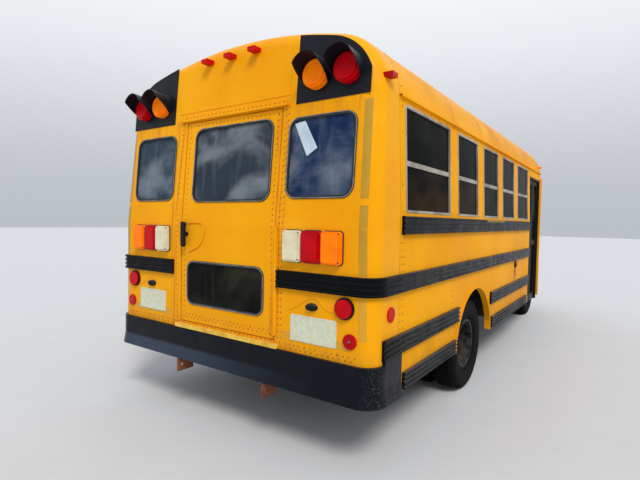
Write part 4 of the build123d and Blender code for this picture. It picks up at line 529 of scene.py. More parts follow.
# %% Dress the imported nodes
DRESS = {
    side_yellow: "side_wall_right side_wall_left",
    roof_yellow: "roof front_cap",
    rear_yellow: "rear_cap rear_door",
    plain_yellow: "cab_shell front_fenders hood driver_door rear_door_hinge",
    sash_metal: "side_sashes",
    gasket_rubber: "rear_window_gaskets rear_door_gaskets",
    rear_glass: "rear_door_glass",
    side_glass: "window_glass",
    screen_glass: "entry_glass_rear entry_glass_front driver_glass",
    rail_black: "rub_rails",
    bumper_black: "bumpers",
    lamp_black: "lamp_hoods stop_sign_mount rear_door_handle mirrors",
    frame_black: "entry_frame entry_leaf_rear entry_leaf_front stepwell",
    wheel_black: "rear_rims_left rear_rims_right front_rim_left front_rim_right",
    chassis_steel: "chassis_frame crossmembers floor_sills fuel_tank springs seat_frames",
    cast_iron: "rear_axle engine front_axle knuckle_left knuckle_right",
    pipe_steel: "exhaust",
    rusty_steel: "tow_eyes",
    tyre_black: "rear_tyres_left rear_tyres_right front_tyre_left front_tyre_right",
    floor_rubber: "floor",
    dark_plastic: "grille dashboard",
    red_lens: "red_lamps",
    amber_lens: "amber_lamps",
    clear_lens: "clear_lamps",
    stop_red: "stop_sign",
    bench_vinyl: "seats",
}
dressed = set()
for material, names in DRESS.items():
    for name in names.split():
        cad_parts[name].data.materials.clear()
        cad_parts[name].data.materials.append(material)
        dressed.add(name)
print("bare nodes:", sorted(set(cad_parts) - dressed))

# %% [markdown]
# From here on the notebook adds pieces. A few helpers keep their code short: one makes a mesh
# piece from points and faces, one turns a curve or a live Geometry Nodes result into a plain
# mesh, one smooths a piece but keeps its edges, and one joins pieces of a kind into one. Each
# piece rides on the body that carries it, so it moves when that door or wheel moves.

# %% Helpers for pieces
WELD = 0.00005


def show(name, data):
    obj = bpy.data.objects.new(name, data)
    bpy.context.scene.collection.objects.link(obj)
    return obj


def mesh_object(name, points, faces, material=None, edges=(), turn=True):
    """A mesh, its faces turned outwards unless turn is off."""
    mesh = bpy.data.meshes.new(name)
    mesh.from_pydata([tuple(p) for p in points], edges, faces)
    if material:
        mesh.materials.append(material)
    made = show(name, mesh)
    return outward(made) if turn else made


def outward(obj, weld=0.0, fill=False):
    """Weld points closer than weld, close open ends if asked, turn all faces outwards."""
    shape = bmesh.new()
    shape.from_mesh(obj.data)
    if weld:
        bmesh.ops.remove_doubles(shape, verts=shape.verts, dist=weld)
    if fill:
        bmesh.ops.holes_fill(shape, edges=shape.edges, sides=0)
    bmesh.ops.recalc_face_normals(shape, faces=shape.faces)
    shape.to_mesh(obj.data)
    shape.free()
    return obj


def settle(obj, name=None):
    """The evaluated shape of obj as a plain mesh object; obj itself goes."""
    graph = bpy.context.evaluated_depsgraph_get()
    graph.update()
    mesh = bpy.data.meshes.new_from_object(obj.evaluated_get(graph), depsgraph=graph)
    name = name or obj.name
    mesh.transform(obj.matrix_world)
    bpy.data.objects.remove(obj)
    mesh.name = name
    return show(name, mesh)


def smooth(obj, angle=35.0):
    """Smooth shading that keeps edges sharper than the angle."""
    obj.data.polygons.foreach_set("use_smooth", [True] * len(obj.data.polygons))
    obj.data.set_sharp_from_angle(angle=math.radians(angle))
    return obj


def joined(name, objects):
    """Several mesh objects as one."""
    shape = bmesh.new()
    materials = []
    for obj in objects:
        start = len(shape.faces)
        shape.from_mesh(obj.data)
        shape.faces.ensure_lookup_table()
        slots = list(obj.data.materials)
        for face in shape.faces[start:]:
            material = slots[face.material_index] if slots else None
            if material not in materials:
                materials.append(material)
            face.material_index = materials.index(material)
    mesh = bpy.data.meshes.new(name)
    shape.to_mesh(mesh)
    shape.free()
    for material in materials:
        mesh.materials.append(material)
    for obj in objects:
        bpy.data.objects.remove(obj)
    return show(name, mesh)


def place(obj, body="bus_body"):
    """Give a finished piece the body that carries it."""
    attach(obj, body)
    return obj


print("piece helpers ready")

# %% [markdown]
# Rivets hold every sheet of the body. There are over a thousand, so they are drawn as rows and
# grown by Geometry Nodes: the tree walks each row at a set pitch, drops each point onto the
# sheet metal, turns a low round head to face outwards there and makes it real. Drawn by hand,
# each rivet on the leaning or curved sheets would need its own height and tilt.

# %% Geometry Nodes: rivets on sheet metal
def new_tree(name, sockets):
    tree = bpy.data.node_groups.new(name, "GeometryNodeTree")
    for label, kind, value in sockets:
        made = tree.interface.new_socket(label, in_out="INPUT", socket_type="NodeSocket" + kind)
        if value is not None:
            made.default_value = value
    tree.interface.new_socket("Geometry", in_out="OUTPUT", socket_type="NodeSocketGeometry")
    entry = tree.nodes.new("NodeGroupInput")
    leave = tree.nodes.new("NodeGroupOutput")
    return tree, entry.outputs, leave.inputs[0]


def grow(tree, base, **values):
    """Run a tree on base as a modifier, with its named inputs, and keep the plain mesh."""
    modifier = base.modifiers.new(tree.name, "NODES")
    names = {item.name: item.identifier for item in tree.interface.items_tree
             if item.item_type == "SOCKET" and item.in_out == "INPUT"}
    for key, value in values.items():
        modifier[names[key]] = value
    modifier.node_group = tree
    return settle(base)


def rivet_tree():
    tree, given, result = new_tree("rivets_on_sheet", [
        ("Rows", "Geometry", None), ("Sheet", "Object", None), ("Pitch", "Float", 0.05),
        ("Radius", "Float", 0.006), ("Height", "Float", 0.0025), ("Finish", "Material", None)])
    rows = node(tree, "GeometryNodeMeshToCurve", {"Mesh": given["Rows"]})
    points = node(tree, "GeometryNodeResampleCurve", {"Curve": rows, "Length": given["Pitch"]},
                  mode="LENGTH")
    sheet = node(tree, "GeometryNodeObjectInfo", {"Object": given["Sheet"]}, out=4)
    spot = node(tree, "GeometryNodeInputPosition")
    nearest = node(tree, "GeometryNodeProximity", {0: sheet}, target_element="FACES")
    points = node(tree, "GeometryNodeSetPosition", {"Geometry": points, "Position": nearest})
    faces = node(tree, "GeometryNodeInputNormal")
    facing = node(tree, "GeometryNodeSampleNearestSurface", {"Mesh": sheet, "Value": faces,
                  "Sample Position": spot}, data_type="FLOAT_VECTOR")
    tilt = node(tree, "FunctionNodeAlignRotationToVector", {"Vector": facing}, axis="Z")
    half = node(tree, "ShaderNodeMath", {0: given["Radius"], 1: 0.5}, operation="MULTIPLY")
    head = node(tree, "GeometryNodeMeshCone", {"Vertices": 8, "Radius Top": half,
                "Radius Bottom": given["Radius"], "Depth": given["Height"]})
    heads = node(tree, "GeometryNodeInstanceOnPoints", {"Points": points, "Instance": head,
                 "Rotation": tilt})
    real = node(tree, "GeometryNodeRealizeInstances", {"Geometry": heads})
    soft = node(tree, "GeometryNodeSetShadeSmooth", {"Geometry": real})
    done = node(tree, "GeometryNodeSetMaterial", {"Geometry": soft, "Material": given["Finish"]})
    tree.links.new(done, result)
    return tree


rivets = rivet_tree()
print("tree:", rivets.name, len(rivets.nodes), "nodes")

# %% [markdown]
# Where the rows run follows the photograph: both sides of the rear door and along its top and
# foot, two rows above the bumper, and down each seam of the side sheets. The roof's rows sit
# over its hidden bows. The rivets land on a copy of the sheets, which goes again afterwards.

# %% Rivet rows
SIDE_SEAMS = ((SEAM + 0.022, 0.66, 1.06), (SEAM + 0.022, 1.19, 1.41), (SEAM + 0.062, 0.66, 1.06),
              (SEAM + 0.062, 1.19, 1.41), (1.307, 0.82, 1.055), (2.72, 0.82, 1.055),
              (2.72, 1.19, 1.41), (3.558, 0.82, 1.055), (3.558, 1.19, 1.41))
WINDOW_POSTS = (0.346, 1.245, 1.369, 1.998, 2.108, 2.744, 2.854, 3.492, 3.616, 4.376)
WALL_TOP = 0.985 * HALF
ROOF_ARCH = ((1.20, 2.32), (1.15, 2.48), (1.02, 2.62), (0.70, 2.70), (0.0, 2.76))
RIVET_HEIGHT = 0.0030


def land_rivets(name, rows, nodes, pitch, radius, height, finish):
    """Rivets or screws along rows of points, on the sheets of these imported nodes."""
    points = [point for row in rows for point in row]
    edges, start = [], 0
    for row in rows:
        edges += [(start + k, start + k + 1) for k in range(len(row) - 1)]
        start += len(row)
    copies = [show("copy_" + n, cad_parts[n].data.copy()) for n in nodes]
    sheet_copy = joined(name + "_sheet", copies)
    drawn = mesh_object(name, points, [], edges=edges, turn=False)
    made = grow(rivets, drawn, Sheet=sheet_copy, Pitch=pitch, Radius=radius, Height=height,
                Finish=finish)
    bpy.data.objects.remove(sheet_copy)
    return made


def upright(y, z0, z1):
    """A row up the rear wall at y, bent at the knee."""
    heights = [z0] + ([KNEE] if z0 < KNEE < z1 else []) + [z1]
    return [on_rear(y, z, 0.002) for z in heights]


def level(y0, y1, z, proud=0.0):
    """A row across the rear wall."""
    return [on_rear(y0, z, proud), on_rear(y1, z, proud)]


close_rows = [upright(-0.548, 0.70, 2.21), upright(0.488, 0.70, 2.21), upright(-0.524, 0.74, 2.2),
              level(-0.50, 0.46, 2.255, 0.001), level(-1.10, 1.10, 0.708), level(-1.075, 1.075, 0.686)]
wide_rows = []
for low_y, top_y in ((-HALF, -WALL_TOP), (HALF, WALL_TOP)):
    close_rows += [[at(x, low_y, z0), at(x, low_y, z1)] for x, z0, z1 in SIDE_SEAMS]
    wide_rows += [[at(x, low_y, 1.56), at(x, top_y, 2.20)] for x in WINDOW_POSTS]
    wide_rows.append([at(0.36, top_y, 2.235), at(4.40, top_y, 2.235)])
roof_rows = [[at(x, -y, z) for y, z in ROOF_ARCH] + [at(x, y, z) for y, z in reversed(ROOF_ARCH[:-1])]
             for x in (SEAM + 0.03, *ROOF_SEAMS, 4.80)]
door_rows = [upright(-0.462, 0.755, 2.175), upright(0.402, 0.755, 2.175), level(-0.46, 0.40, 2.183),
             level(-0.46, 0.40, 0.752), level(-0.44, 0.38, 0.772)]
# the rivets' darker, browner yellow is a painted shade of their small heads
rivet_paint = metal("rivet_dirty_yellow", (206, 138, 30), (150, 96, 34), 40.0, 0.0, 0.45)
SHELL = ("rear_cap", "side_wall_right", "side_wall_left", "roof", "front_cap")
heads = [land_rivets("rivets", rows, SHELL, pitch, radius, RIVET_HEIGHT, rivet_paint)
         for rows, pitch, radius in ((close_rows, 0.040, 0.0062), (wide_rows, 0.155, 0.0065),
                                     (roof_rows, 0.085, 0.0058))]
body_rivets = place(joined("body_rivets", heads))
door_rivets = land_rivets("rear_door_rivets", door_rows, ["rear_door"], 0.038, 0.0060, RIVET_HEIGHT,
                          rivet_paint)
place(door_rivets, "rear_door")
print("rivet faces:", len(body_rivets.data.polygons), "+", len(door_rivets.data.polygons))

# %% [markdown]
# A tyre's tread is one mould segment cut round and round. So one pitch of it is made as a small
# mesh, bead to bead, and a second tree sets it round the axle and welds the copies. The same
# tree turns one wheel nut into a circle of eight.

# %% Geometry Nodes: copies round an axis
def ring_tree():
    tree, given, result = new_tree("copies_round_an_axis", [
        ("Base", "Geometry", None), ("Count", "Int", 8), ("Centre", "Vector", None),
        ("Axis", "Vector", None), ("Weld", "Float", 0.0002), ("Finish", "Material", None)])
    spots = node(tree, "GeometryNodePoints", {"Count": given["Count"], "Position": given["Centre"]})
    number = node(tree, "GeometryNodeInputIndex")
    share = node(tree, "ShaderNodeMath", {0: number, 1: given["Count"]}, operation="DIVIDE")
    angle = node(tree, "ShaderNodeMath", {0: share, 1: math.tau}, operation="MULTIPLY")
    turned = node(tree, "FunctionNodeAxisAngleToRotation", {"Axis": given["Axis"], "Angle": angle})
    copies = node(tree, "GeometryNodeInstanceOnPoints", {"Points": spots, "Instance": given["Base"],
                  "Rotation": turned})
    real = node(tree, "GeometryNodeRealizeInstances", {"Geometry": copies})
    welded = node(tree, "GeometryNodeMergeByDistance", {"Geometry": real, "Distance": given["Weld"]})
    done = node(tree, "GeometryNodeSetMaterial", {"Geometry": welded, "Material": given["Finish"]})
    tree.links.new(done, result)
    return tree


round_axis = ring_tree()
print("tree:", round_axis.name)

# %% [markdown]
# The segment's cross-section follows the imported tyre: bead, bulged sidewall, square shoulder.
# Four grooves zigzag round the tread, and the shoulder is notched once per pitch into lugs.

# %% Tyres
PITCHES = 52
STEPS = 4
SHOULDER = ((0.3685, 0.1112), (0.384, 0.1035), (0.3975, 0.0935), (0.4046, 0.0720))
SIDEWALL = ((0.2083, 0.0800), (0.222, 0.0802), (0.240, 0.0985), (0.262, 0.1085), (0.268, 0.1115),
            (0.275, 0.1105), (0.305, 0.1172), (0.340, 0.1160), (0.352, 0.1168))
GROOVES = (-0.050, -0.017, 0.017, 0.050)
NOTCH, ZIGZAG = 0.008, 0.0035


def tyre_segment(name):
    """One pitch of a tyre; each column is its cross-section as (radius, across)."""
    points = []
    for k in range(STEPS + 1):
        notch = NOTCH if k in (1, 2) else 0.0
        side = list(SIDEWALL) + [(r - (notch if number in (1, 2) else 0), w)
                                 for number, (r, w) in enumerate(SHOULDER)]
        tread = []
        for groove in GROOVES:
            w = groove + ZIGZAG * (1 - abs(2 * ((k / STEPS) % 1.0) - 1) * 2)
            tread += [(0.4049, w - 0.0050), (0.3955, w - 0.0036), (0.3955, w + 0.0036),
                      (0.4049, w + 0.0050)]
        line = [(r, -w) for r, w in side] + tread + [(r, w) for r, w in reversed(side)]
        turn = math.tau / PITCHES * k / STEPS
        points += [(r * math.sin(turn), w, r * math.cos(turn)) for r, w in line]
    n = len(line)
    faces = []
    for k in range(STEPS):
        for i in range(n):
            a, b = k * n + i, k * n + (i + 1) % n
            faces.append((a, b, b + n, a + n))
    return mesh_object(name, points, faces, tyre_black, turn=False)


TYRES = {"rear_tyres_left": ("rear_wheels_left", REAR_AXLE, (1.070, 0.800)),
         "rear_tyres_right": ("rear_wheels_right", REAR_AXLE, (-1.070, -0.800)),
         "front_tyre_left": ("front_wheel_left", FRONT_AXLE, (0.870,)),
         "front_tyre_right": ("front_wheel_right", FRONT_AXLE, (-0.870,))}
for name, (body, axle, rows) in TYRES.items():
    rings = [grow(round_axis, tyre_segment(name + "_mould"), Count=PITCHES, Centre=at(axle, y, TYRE_R),
                  Axis=(0, 1, 0), Weld=0.0003, Finish=tyre_black) for y in rows]
    made = smooth(outward(joined(name + "_treaded", rings), WELD), 28)
    place(made, body)
    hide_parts(name)
    print(name, len(made.data.polygons), "faces")

# %% [markdown]
# Tape and paper lie on the body and follow its bends. A flat strip with a Shrinkwrap would do,
# but its side faces would be pressed flat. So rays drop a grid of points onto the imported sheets,
# and a second, slightly buried layer closes the strip below.

# %% Thin sheets laid by rays
BURIED = 0.0006


def surface_of(*names):
    """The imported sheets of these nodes, ready to be met by rays."""
    points, faces = [], []
    for name in names:
        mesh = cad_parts[name].data
        start = len(points)
        points += [v.co.copy() for v in mesh.vertices]
        faces += [[start + i for i in p.vertices] for p in mesh.polygons]
    return BVHTree.FromPolygons(points, faces)


def hit(surface, start, along):
    """Where a ray meets a surface, or None."""
    return surface.ray_cast(start, along)[0]


def sheet(name, surface, grid, proud, material, mirrored=False):
    """A thin sheet laid on a surface; each grid item is where a ray starts and its direction."""
    wide, tall = len(grid[0]), len(grid)
    top, foot = [], []
    for start, along in sum(grid, []):
        spot, normal = surface.ray_cast(start, along)[:2]
        normal = -normal if normal.dot(along) > 0 else normal
        top.append(spot + normal * proud)
        foot.append(spot - normal * BURIED)
    n = len(top)
    faces = []
    for r in range(tall - 1):
        for a in range(r * wide, r * wide + wide - 1):
            faces.append((a, a + 1, a + wide + 1, a + wide))
            faces.append((n + a, n + a + wide, n + a + wide + 1, n + a + 1))
    border = list(range(wide)) + [r * wide + wide - 1 for r in range(1, tall)]
    border += list(range(n - 2, n - wide - 1, -1)) + [r * wide for r in range(tall - 2, 0, -1)]
    faces += [(a, b, n + b, n + a) for a, b in zip(border, border[1:] + border[:1])]
    points = top + foot
    if mirrored:
        points = [Vector((p.x, -p.y, p.z)) for p in points]
    return mesh_object(name, points, faces, material)


rear_sheet = surface_of("rear_cap", "rear_door")
print("ready to lay sheets")

# %% [markdown]
# Reflective tape marks the rear corners. It was stuck on in three lengths between the rails,
# with a fainter band along the foot of the wall. Its places were taken where the camera sees
# them, so the rays that lay it start at the camera, and the left side is the mirror image. Its
# surface is a honeycomb of tiny cells under clear film.

# %% Reflective tape
CELL = 0.012
TAPE_TOP, TAPE_EDGE, TAPE_SPLAY, TAPE_WIDTH = 2.187, 1.096, 0.0165, 0.055
TAPE_STEP = 0.04


def tape_finish():
    f = Finish("honeycomb_tape", (212, 158, 24), Specular_IOR_Level=0.3, Coat_Weight=0.2,
               Coat_Roughness=0.15)
    waves = [f.calc("SINE", f.times(f.calc(way, f.y, f.z), math.pi / CELL)) for way in ("ADD", "SUBTRACT")]
    walls = f.step(f.calc("ABSOLUTE", f.times(*waves)), 0.30, 0.10)
    worn = f.patch(6.0, 8.0, 0.45, 0.72, 0.6)
    f.coat((190, 146, 38), worn)
    f.coat((128, 100, 24), walls)
    f.coat((232, 164, 22), f.step(f.z, 1.30, 1.05, 0.62))
    return f.done(Roughness=f.spread(worn, 0.28, 0.5), Normal=f.bump(walls, 0.0003))


def sight(spot):
    """The camera's ray to a spot."""
    return EYE, (spot - EYE).normalized()


def tape_run(z_high, z_low):
    """The rays that lay one length of tape; it leans outwards on its way down."""
    rows = max(2, round((z_high - z_low) / TAPE_STEP))
    grid = []
    for r in range(rows + 1):
        z = z_high + (z_low - z_high) * r / rows
        inner = -TAPE_EDGE - TAPE_SPLAY * (TAPE_TOP - z)
        grid.append([sight(on_rear(inner - TAPE_WIDTH * c / 4, z)) for c in range(5)])
    return grid


honeycomb = tape_finish()
strips = [sheet("tape", rear_sheet, tape_run(z_high, z_low), 0.0008, honeycomb, mirrored)
          for z_high, z_low in ((TAPE_TOP, 1.621), (1.582, 1.182), (1.056, 0.812))
          for mirrored in (False, True)]
foot_band = [[(on_rear(y, z, 0.2), FORWARD) for y in (-0.56, -0.75, -0.95, -1.06)]
             for z in (0.740, 0.790)]
strips += [sheet("tape", rear_sheet, foot_band, 0.0007, honeycomb, mirrored) for mirrored in (False, True)]
place(joined("reflective_tape", strips))
print("lengths of tape:", len(strips))

# %% [markdown]
# Plates, bezels and handles are flat shapes with some thickness. `plate` builds one from its
# outline and a rule that turns (across, up, out) into a place on the bus, so the same outline
# can stand on the leaning rear wall or on a door. Its outer edge is softened, as an edge that
# catches no light looks cut from paper. `bead` draws a round cord, lip or wire along a path.

# %% Plates and beads
EDGE = 0.0016


def rounded(y0, y1, z0, z1, radius, corner=4):
    """A rounded rectangle as (y, z) points, anticlockwise."""
    points = []
    for cy, cz, start in ((y1 - radius, z1 - radius, 0), (y0 + radius, z1 - radius, 90),
                          (y0 + radius, z0 + radius, 180), (y1 - radius, z0 + radius, 270)):
        for k in range(corner + 1):
            a = math.radians(start + 90 * k / corner)
            points.append((cy + radius * math.cos(a), cz + radius * math.sin(a)))
    return points


def plate(name, outline, rule, low, high, material):
    """A plate between two distances out from its surface, its outer edge softened."""
    edge = min(EDGE, (high - low) * 0.45)
    cu, cv = [sum(p[i] for p in outline) / len(outline) for i in (0, 1)]
    shrink = 1 - edge / max(abs(p[0] - cu) for p in outline)
    inner = [(cu + (u - cu) * shrink, cv + (v - cv) * shrink) for u, v in outline]
    rings = ((outline, low), (outline, high - edge), (inner, high))
    points = [rule(u, v, out) for ring, out in rings for u, v in ring]
    points += [rule(cu, cv, low), rule(cu, cv, high)]
    n = len(outline)
    faces = []
    for k in range(n):
        after = (k + 1) % n
        for ring in (0, n):
            faces.append((ring + k, ring + after, ring + after + n, ring + k + n))
        faces += [(k, after, 3 * n), (2 * n + k, 2 * n + after, 3 * n + 1)]
    return mesh_object(name, points, faces, material)


def coated(obj, material):
    obj.data.materials.clear()
    obj.data.materials.append(material)
    return obj


def bead(name, paths, radius, material, closed=False, sides=2, order=3):
    """A round bead along each path of points."""
    curve = bpy.data.curves.new(name, "CURVE")
    curve.dimensions = "3D"
    curve.bevel_depth = radius
    curve.bevel_resolution = sides
    curve.use_fill_caps = not closed
    curve.resolution_u = 5
    for path in paths:
        spline = curve.splines.new("NURBS" if order > 2 else "POLY")
        spline.points.add(len(path) - 1)
        for point, spot in zip(spline.points, path):
            point.co = (*spot, 1.0)
        spline.use_cyclic_u = closed
        if order > 2:
            spline.order_u = order
            spline.use_endpoint_u = not closed
    made = coated(settle(show(name + "_line", curve), name), material)
    return smooth(made)


print("ready to set plates and beads")

# %% [markdown]
# The two number plates stay blank. Each is thin enamelled sheet with a raised rim.

# %% Blank plates
PLATES = ((-0.973, -0.629, 0.742, 0.907), (0.625, 0.955, 0.757, 0.920))
RIM = 0.008
plate_paint = metal("plate_enamel", (215, 218, 190), (204, 206, 178), 40.0, 0.0, 0.4, rust=0.04)
blanks = []
for y0, y1, z0, z1 in PLATES:
    blanks.append(plate("blank", rounded(y0, y1, z0, z1, 0.012), on_rear, 0.0005, 0.0045, plate_paint))
    rim = rounded(y0 + RIM, y1 - RIM, z0 + RIM, z1 - RIM, 0.01)
    path = [on_rear(y, z, 0.0046) for y, z in rim]
    blanks.append(bead("rim", [path], 0.0018, plate_paint, closed=True, sides=1))
place(joined("blank_plates", blanks))
print("blank plates:", len(PLATES))

# %% [markdown]
# Over each plate the wall has a pressed arch and a small hooded lamp. `turned` makes round
# pieces from a profile, as a lathe does, and this one is then stretched sideways.

# %% Lamps over the plates
POCKET = ((0.619, 0.932), (0.693, 0.963), (0.745, 1.007), (0.797, 1.024), (0.848, 1.014),
          (0.880, 0.966), (0.948, 0.956), (0.966, 0.936))
LAMP_HOOD = ((0.0, 0.030), (0.012, 0.029), (0.021, 0.022), (0.024, 0.012), (0.0245, 0.0), (0.0, 0.0))
LAMP_Y, LAMP_Z, LAMP_STRETCH = 0.794, 0.968, 1.75


def turned(name, profile, centre, axis, material, sides=24):
    """A lathe-turned piece: (radius, distance along the axis) from one end to the other."""
    base = Matrix.Translation(centre) @ Vector(axis).to_track_quat("Z", "X").to_matrix().to_4x4()
    points, faces = [], []
    for r, h in profile:
        for k in range(sides):
            a = math.tau * k / sides
            points.append(base @ Vector((r * math.cos(a), r * math.sin(a), h)))
    for i in range(len(profile) - 1):
        for k in range(sides):
            a, b = i * sides + k, i * sides + (k + 1) % sides
            faces.append((a, b, b + sides, a + sides))
    return smooth(outward(mesh_object(name, points, faces, material), WELD, fill=True))


outlines = [[on_rear(side * y, z, 0.0005) for y, z in POCKET] for side in (-1, 1)]
place(bead("pressed_pockets", outlines, 0.0042, rear_yellow))
lamps = []
for y in (-LAMP_Y, LAMP_Y):
    lamp = turned("plate_lamp", LAMP_HOOD, at(0, y, LAMP_Z), BACKWARD, lamp_black)
    lamp.data.transform(Matrix.Translation((0, y, 0)) @ Matrix.Diagonal((1, LAMP_STRETCH, 1, 1))
                        @ Matrix.Translation((0, -y, 0)))
    lamps.append(lamp)
place(joined("plate_lamps", lamps))
print("plate lamps:", len(lamps))

# %% [markdown]
# Small trims at the tail: a pressed half-round recess by the lever, and a pale filler strip that
# locks each rubber gasket. Rays find the gasket, so that the strip lies in it all the way round.

# %% Lever recess and window fillers
RECESS = ((0.352, 1.459), (0.290, 1.462), (0.194, 1.462), (0.173, 1.404), (0.199, 1.318),
          (0.271, 1.266), (0.352, 1.246))
PANES = {"window_fillers": ("bus_body", ((0.556, 1.060, 1.625, 2.140, 0.080),
                                         (-1.060, -0.556, 1.625, 2.140, 0.080))),
         "door_fillers": ("rear_door", ((-0.430, 0.340, 1.610, 2.160, 0.080),
                                        (-0.400, 0.370, 0.850, 1.180, 0.070)))}
FILLER_INSET = 0.0055

recess = bead("lever_recess", [[on_rear(y, z, 0.006) for y, z in RECESS]], 0.0038, plain_yellow)
place(recess, "rear_door")
filler = metal("filler_strip", (150, 152, 154), (104, 106, 108), 12.0, 0.0, 0.45)
gasket_skin = surface_of("rear_window_gaskets", "rear_door_gaskets")


def filler_line(y0, y1, z0, z1, radius):
    by = FILLER_INSET
    ring = rounded(y0 + by, y1 - by, z0 + by, z1 - by, radius - by, 6)
    return [hit(gasket_skin, on_rear(y, z, 0.2), FORWARD) or on_rear(y, z, 0.006) for y, z in ring]


for name, (body, panes) in PANES.items():
    lines = bead(name, [filler_line(*p) for p in panes], 0.0026, filler, closed=True, sides=1, order=2)
    place(lines, body)
print("recess and fillers set")

# %% [markdown]
# Dark bezels stand behind the square tail lamps, with screws at their corners, and each round
# reflector is held by one screw in its middle. The corner screws are rivets of a larger size:
# the same tree lands them on the lenses.

# %% Lamp bezels and screws
TAIL_MIDDLES = (0.645, 0.791, 0.937)
BEZEL_HALF, SCREW_HALF = 0.074, 0.053
LAMP_NODES = ("red_lamps", "amber_lamps", "clear_lamps")
SCREW = ((0.0, 0.0075), (0.005, 0.007), (0.0075, 0.0045), (0.008, 0.0), (0.0, 0.0))

dark_screw = metal("dark_screw", (52, 46, 42), (30, 28, 27), 60.0, 0.3, 0.5)
lens_skin = surface_of(*LAMP_NODES)
bezels, screw_rows = [], []
for y in [side * middle for side in (-1, 1) for middle in TAIL_MIDDLES]:
    frame_line = rounded(y - BEZEL_HALF, y + BEZEL_HALF, 1.231, 1.435, 0.024)
    bezels.append(plate("bezel", frame_line, on_rear, 0.0005, 0.0075, gasket_rubber))
    screw_rows += [[hit(lens_skin, on_rear(y + way * SCREW_HALF, z, 0.2), FORWARD) for way in (-1, 1)]
                   for z in (1.251, 1.415)]
place(joined("tail_lamp_bezels", bezels))
screws = land_rivets("tail_lamp_screws", screw_rows, LAMP_NODES, 0.106, 0.0065, 0.004, dark_screw)
place(screws)

centres = []
for side in (-1, 1):
    face = hit(lens_skin, at(0, side * 1.066, 0.800) - 0.2 * FORWARD, FORWARD)
    centres.append(turned("centre", SCREW, face, BACKWARD, bolt_steel, 12))
place(joined("reflector_screws", centres))
print("bezels:", len(bezels), "with", 2 * len(screw_rows), "screws")

# %% [markdown]
# The lever gets its grip. Below the door a yellow step strip lies along the bumper, and a blank
# paper is stuck to the right window, askew. Its four corners were taken where the camera sees
# them, like the tape's.

# %% Lever grip, step strip and paper
LEVER = ((0.352, 1.284), (0.372, 1.280), (0.390, 1.292), (0.392, 1.440), (0.380, 1.462), (0.352, 1.466),
         (0.340, 1.452), (0.350, 1.430), (0.352, 1.400))
PAPER = ((-0.600, 2.098), (-0.680, 2.110), (-0.784, 1.934), (-0.708, 1.888))
grip = plate("lever_grip", LEVER[::-1], on_rear, 0.030, 0.0495, lamp_black)
place(grip, "rear_door")
# the strip's yellow is real; its paler tone is a painted highlight of its lit top face
step_yellow = metal("step_yellow", (238, 196, 70), (214, 160, 40), 18.0, 0.0, 0.5)
tread = rounded(-0.532, 0.486, 0.667, 0.696, 0.004)
place(plate("bumper_step_strip", tread, on_rear, 0.0, 0.0225, step_yellow))


def between(p, q, share):
    return [a * (1 - share) + b * share for a, b in zip(p, q)]


paper_white = matt("old_paper", (206, 222, 230), (176, 196, 208), 9.0, 0.8, 700.0, 0.0001)
grid = []
for down in [r / 6 for r in range(7)]:
    ends = between(PAPER[0], PAPER[3], down), between(PAPER[1], PAPER[2], down)
    grid.append([sight(on_rear(*between(*ends, c / 4))) for c in range(5)])
place(sheet("blank_paper", surface_of("window_glass"), grid, 0.0007, paper_white))
print("grip, strip and paper set")

# %% [markdown]
# The benches are the only soft part: vinyl sewn over foam. One cushion and one back are made
# as real padding by a short cloth simulation that blows each up against its own skin. Gravity
# is off, the skin starts a little too small, and no point may move further than a real pad
# bulges. The result is thinned out, as it will be copied many times.

# %% Padding: one cushion, one back
PAD_RISE = 0.020
PAD_PRESSURE = 0.25
PAD_FRAMES = 20
START_BELOW = 0.7 * PAD_RISE
BENCH_LENGTH = 0.975


def soft_pad(name, size, voxel, keep):
    """A padded form around the origin's corner, of this size, as a plain mesh."""
    shape = bmesh.new()
    bmesh.ops.create_cube(shape, size=1.0)
    slim = [s - 2 * START_BELOW for s in size]
    bmesh.ops.scale(shape, vec=slim, verts=shape.verts)
    bmesh.ops.translate(shape, vec=[s / 2 for s in size], verts=shape.verts)
    bmesh.ops.bevel(shape, geom=shape.edges[:], offset=0.020, segments=3, affect="EDGES", profile=0.6)
    mesh = bpy.data.meshes.new(name)
    shape.to_mesh(mesh)
    shape.free()
    pad = show(name, mesh)
    remesh = pad.modifiers.new("even_skin", "REMESH")
    remesh.mode = "VOXEL"
    remesh.voxel_size = voxel
    pad = settle(pad)
    start = [v.co.copy() for v in pad.data.vertices]
    cloth = pad.modifiers.new("padding", "CLOTH")
    cloth.settings.quality = 5
    cloth.settings.mass = 0.3
    cloth.settings.use_pressure = True
    cloth.settings.uniform_pressure_force = PAD_PRESSURE
    cloth.settings.effector_weights.gravity = 0.0
    cloth.settings.tension_stiffness = 40.0
    cloth.settings.shear_stiffness = 6.0
    cloth.settings.bending_stiffness = 2.0
    cloth.point_cache.frame_start = 1
    cloth.point_cache.frame_end = PAD_FRAMES
    for number in range(1, PAD_FRAMES + 1):
        bpy.context.scene.frame_set(number)
    pad = settle(pad)
    bpy.context.scene.frame_set(1)
    most = 0.0
    for v, home in zip(pad.data.vertices, start):
        moved = v.co - home
        most = max(most, moved.length)
        if moved.length > PAD_RISE:
            moved *= PAD_RISE / moved.length
        v.co = home + moved
        v.co.z = max(v.co.z, 0.001)
    thin = pad.modifiers.new("fewer_faces", "DECIMATE")
    thin.ratio = keep
    pad = smooth(settle(pad, name), 60)
    print(name, "moved up to", round(most * 1000, 1), "mm,", len(pad.data.polygons), "faces")
    return pad


cushion_mould = soft_pad("cushion_mould", (0.394, BENCH_LENGTH, 0.120), 0.013, 0.30)
back_mould = soft_pad("back_mould", (0.090, BENCH_LENGTH, 0.680), 0.014, 0.26)

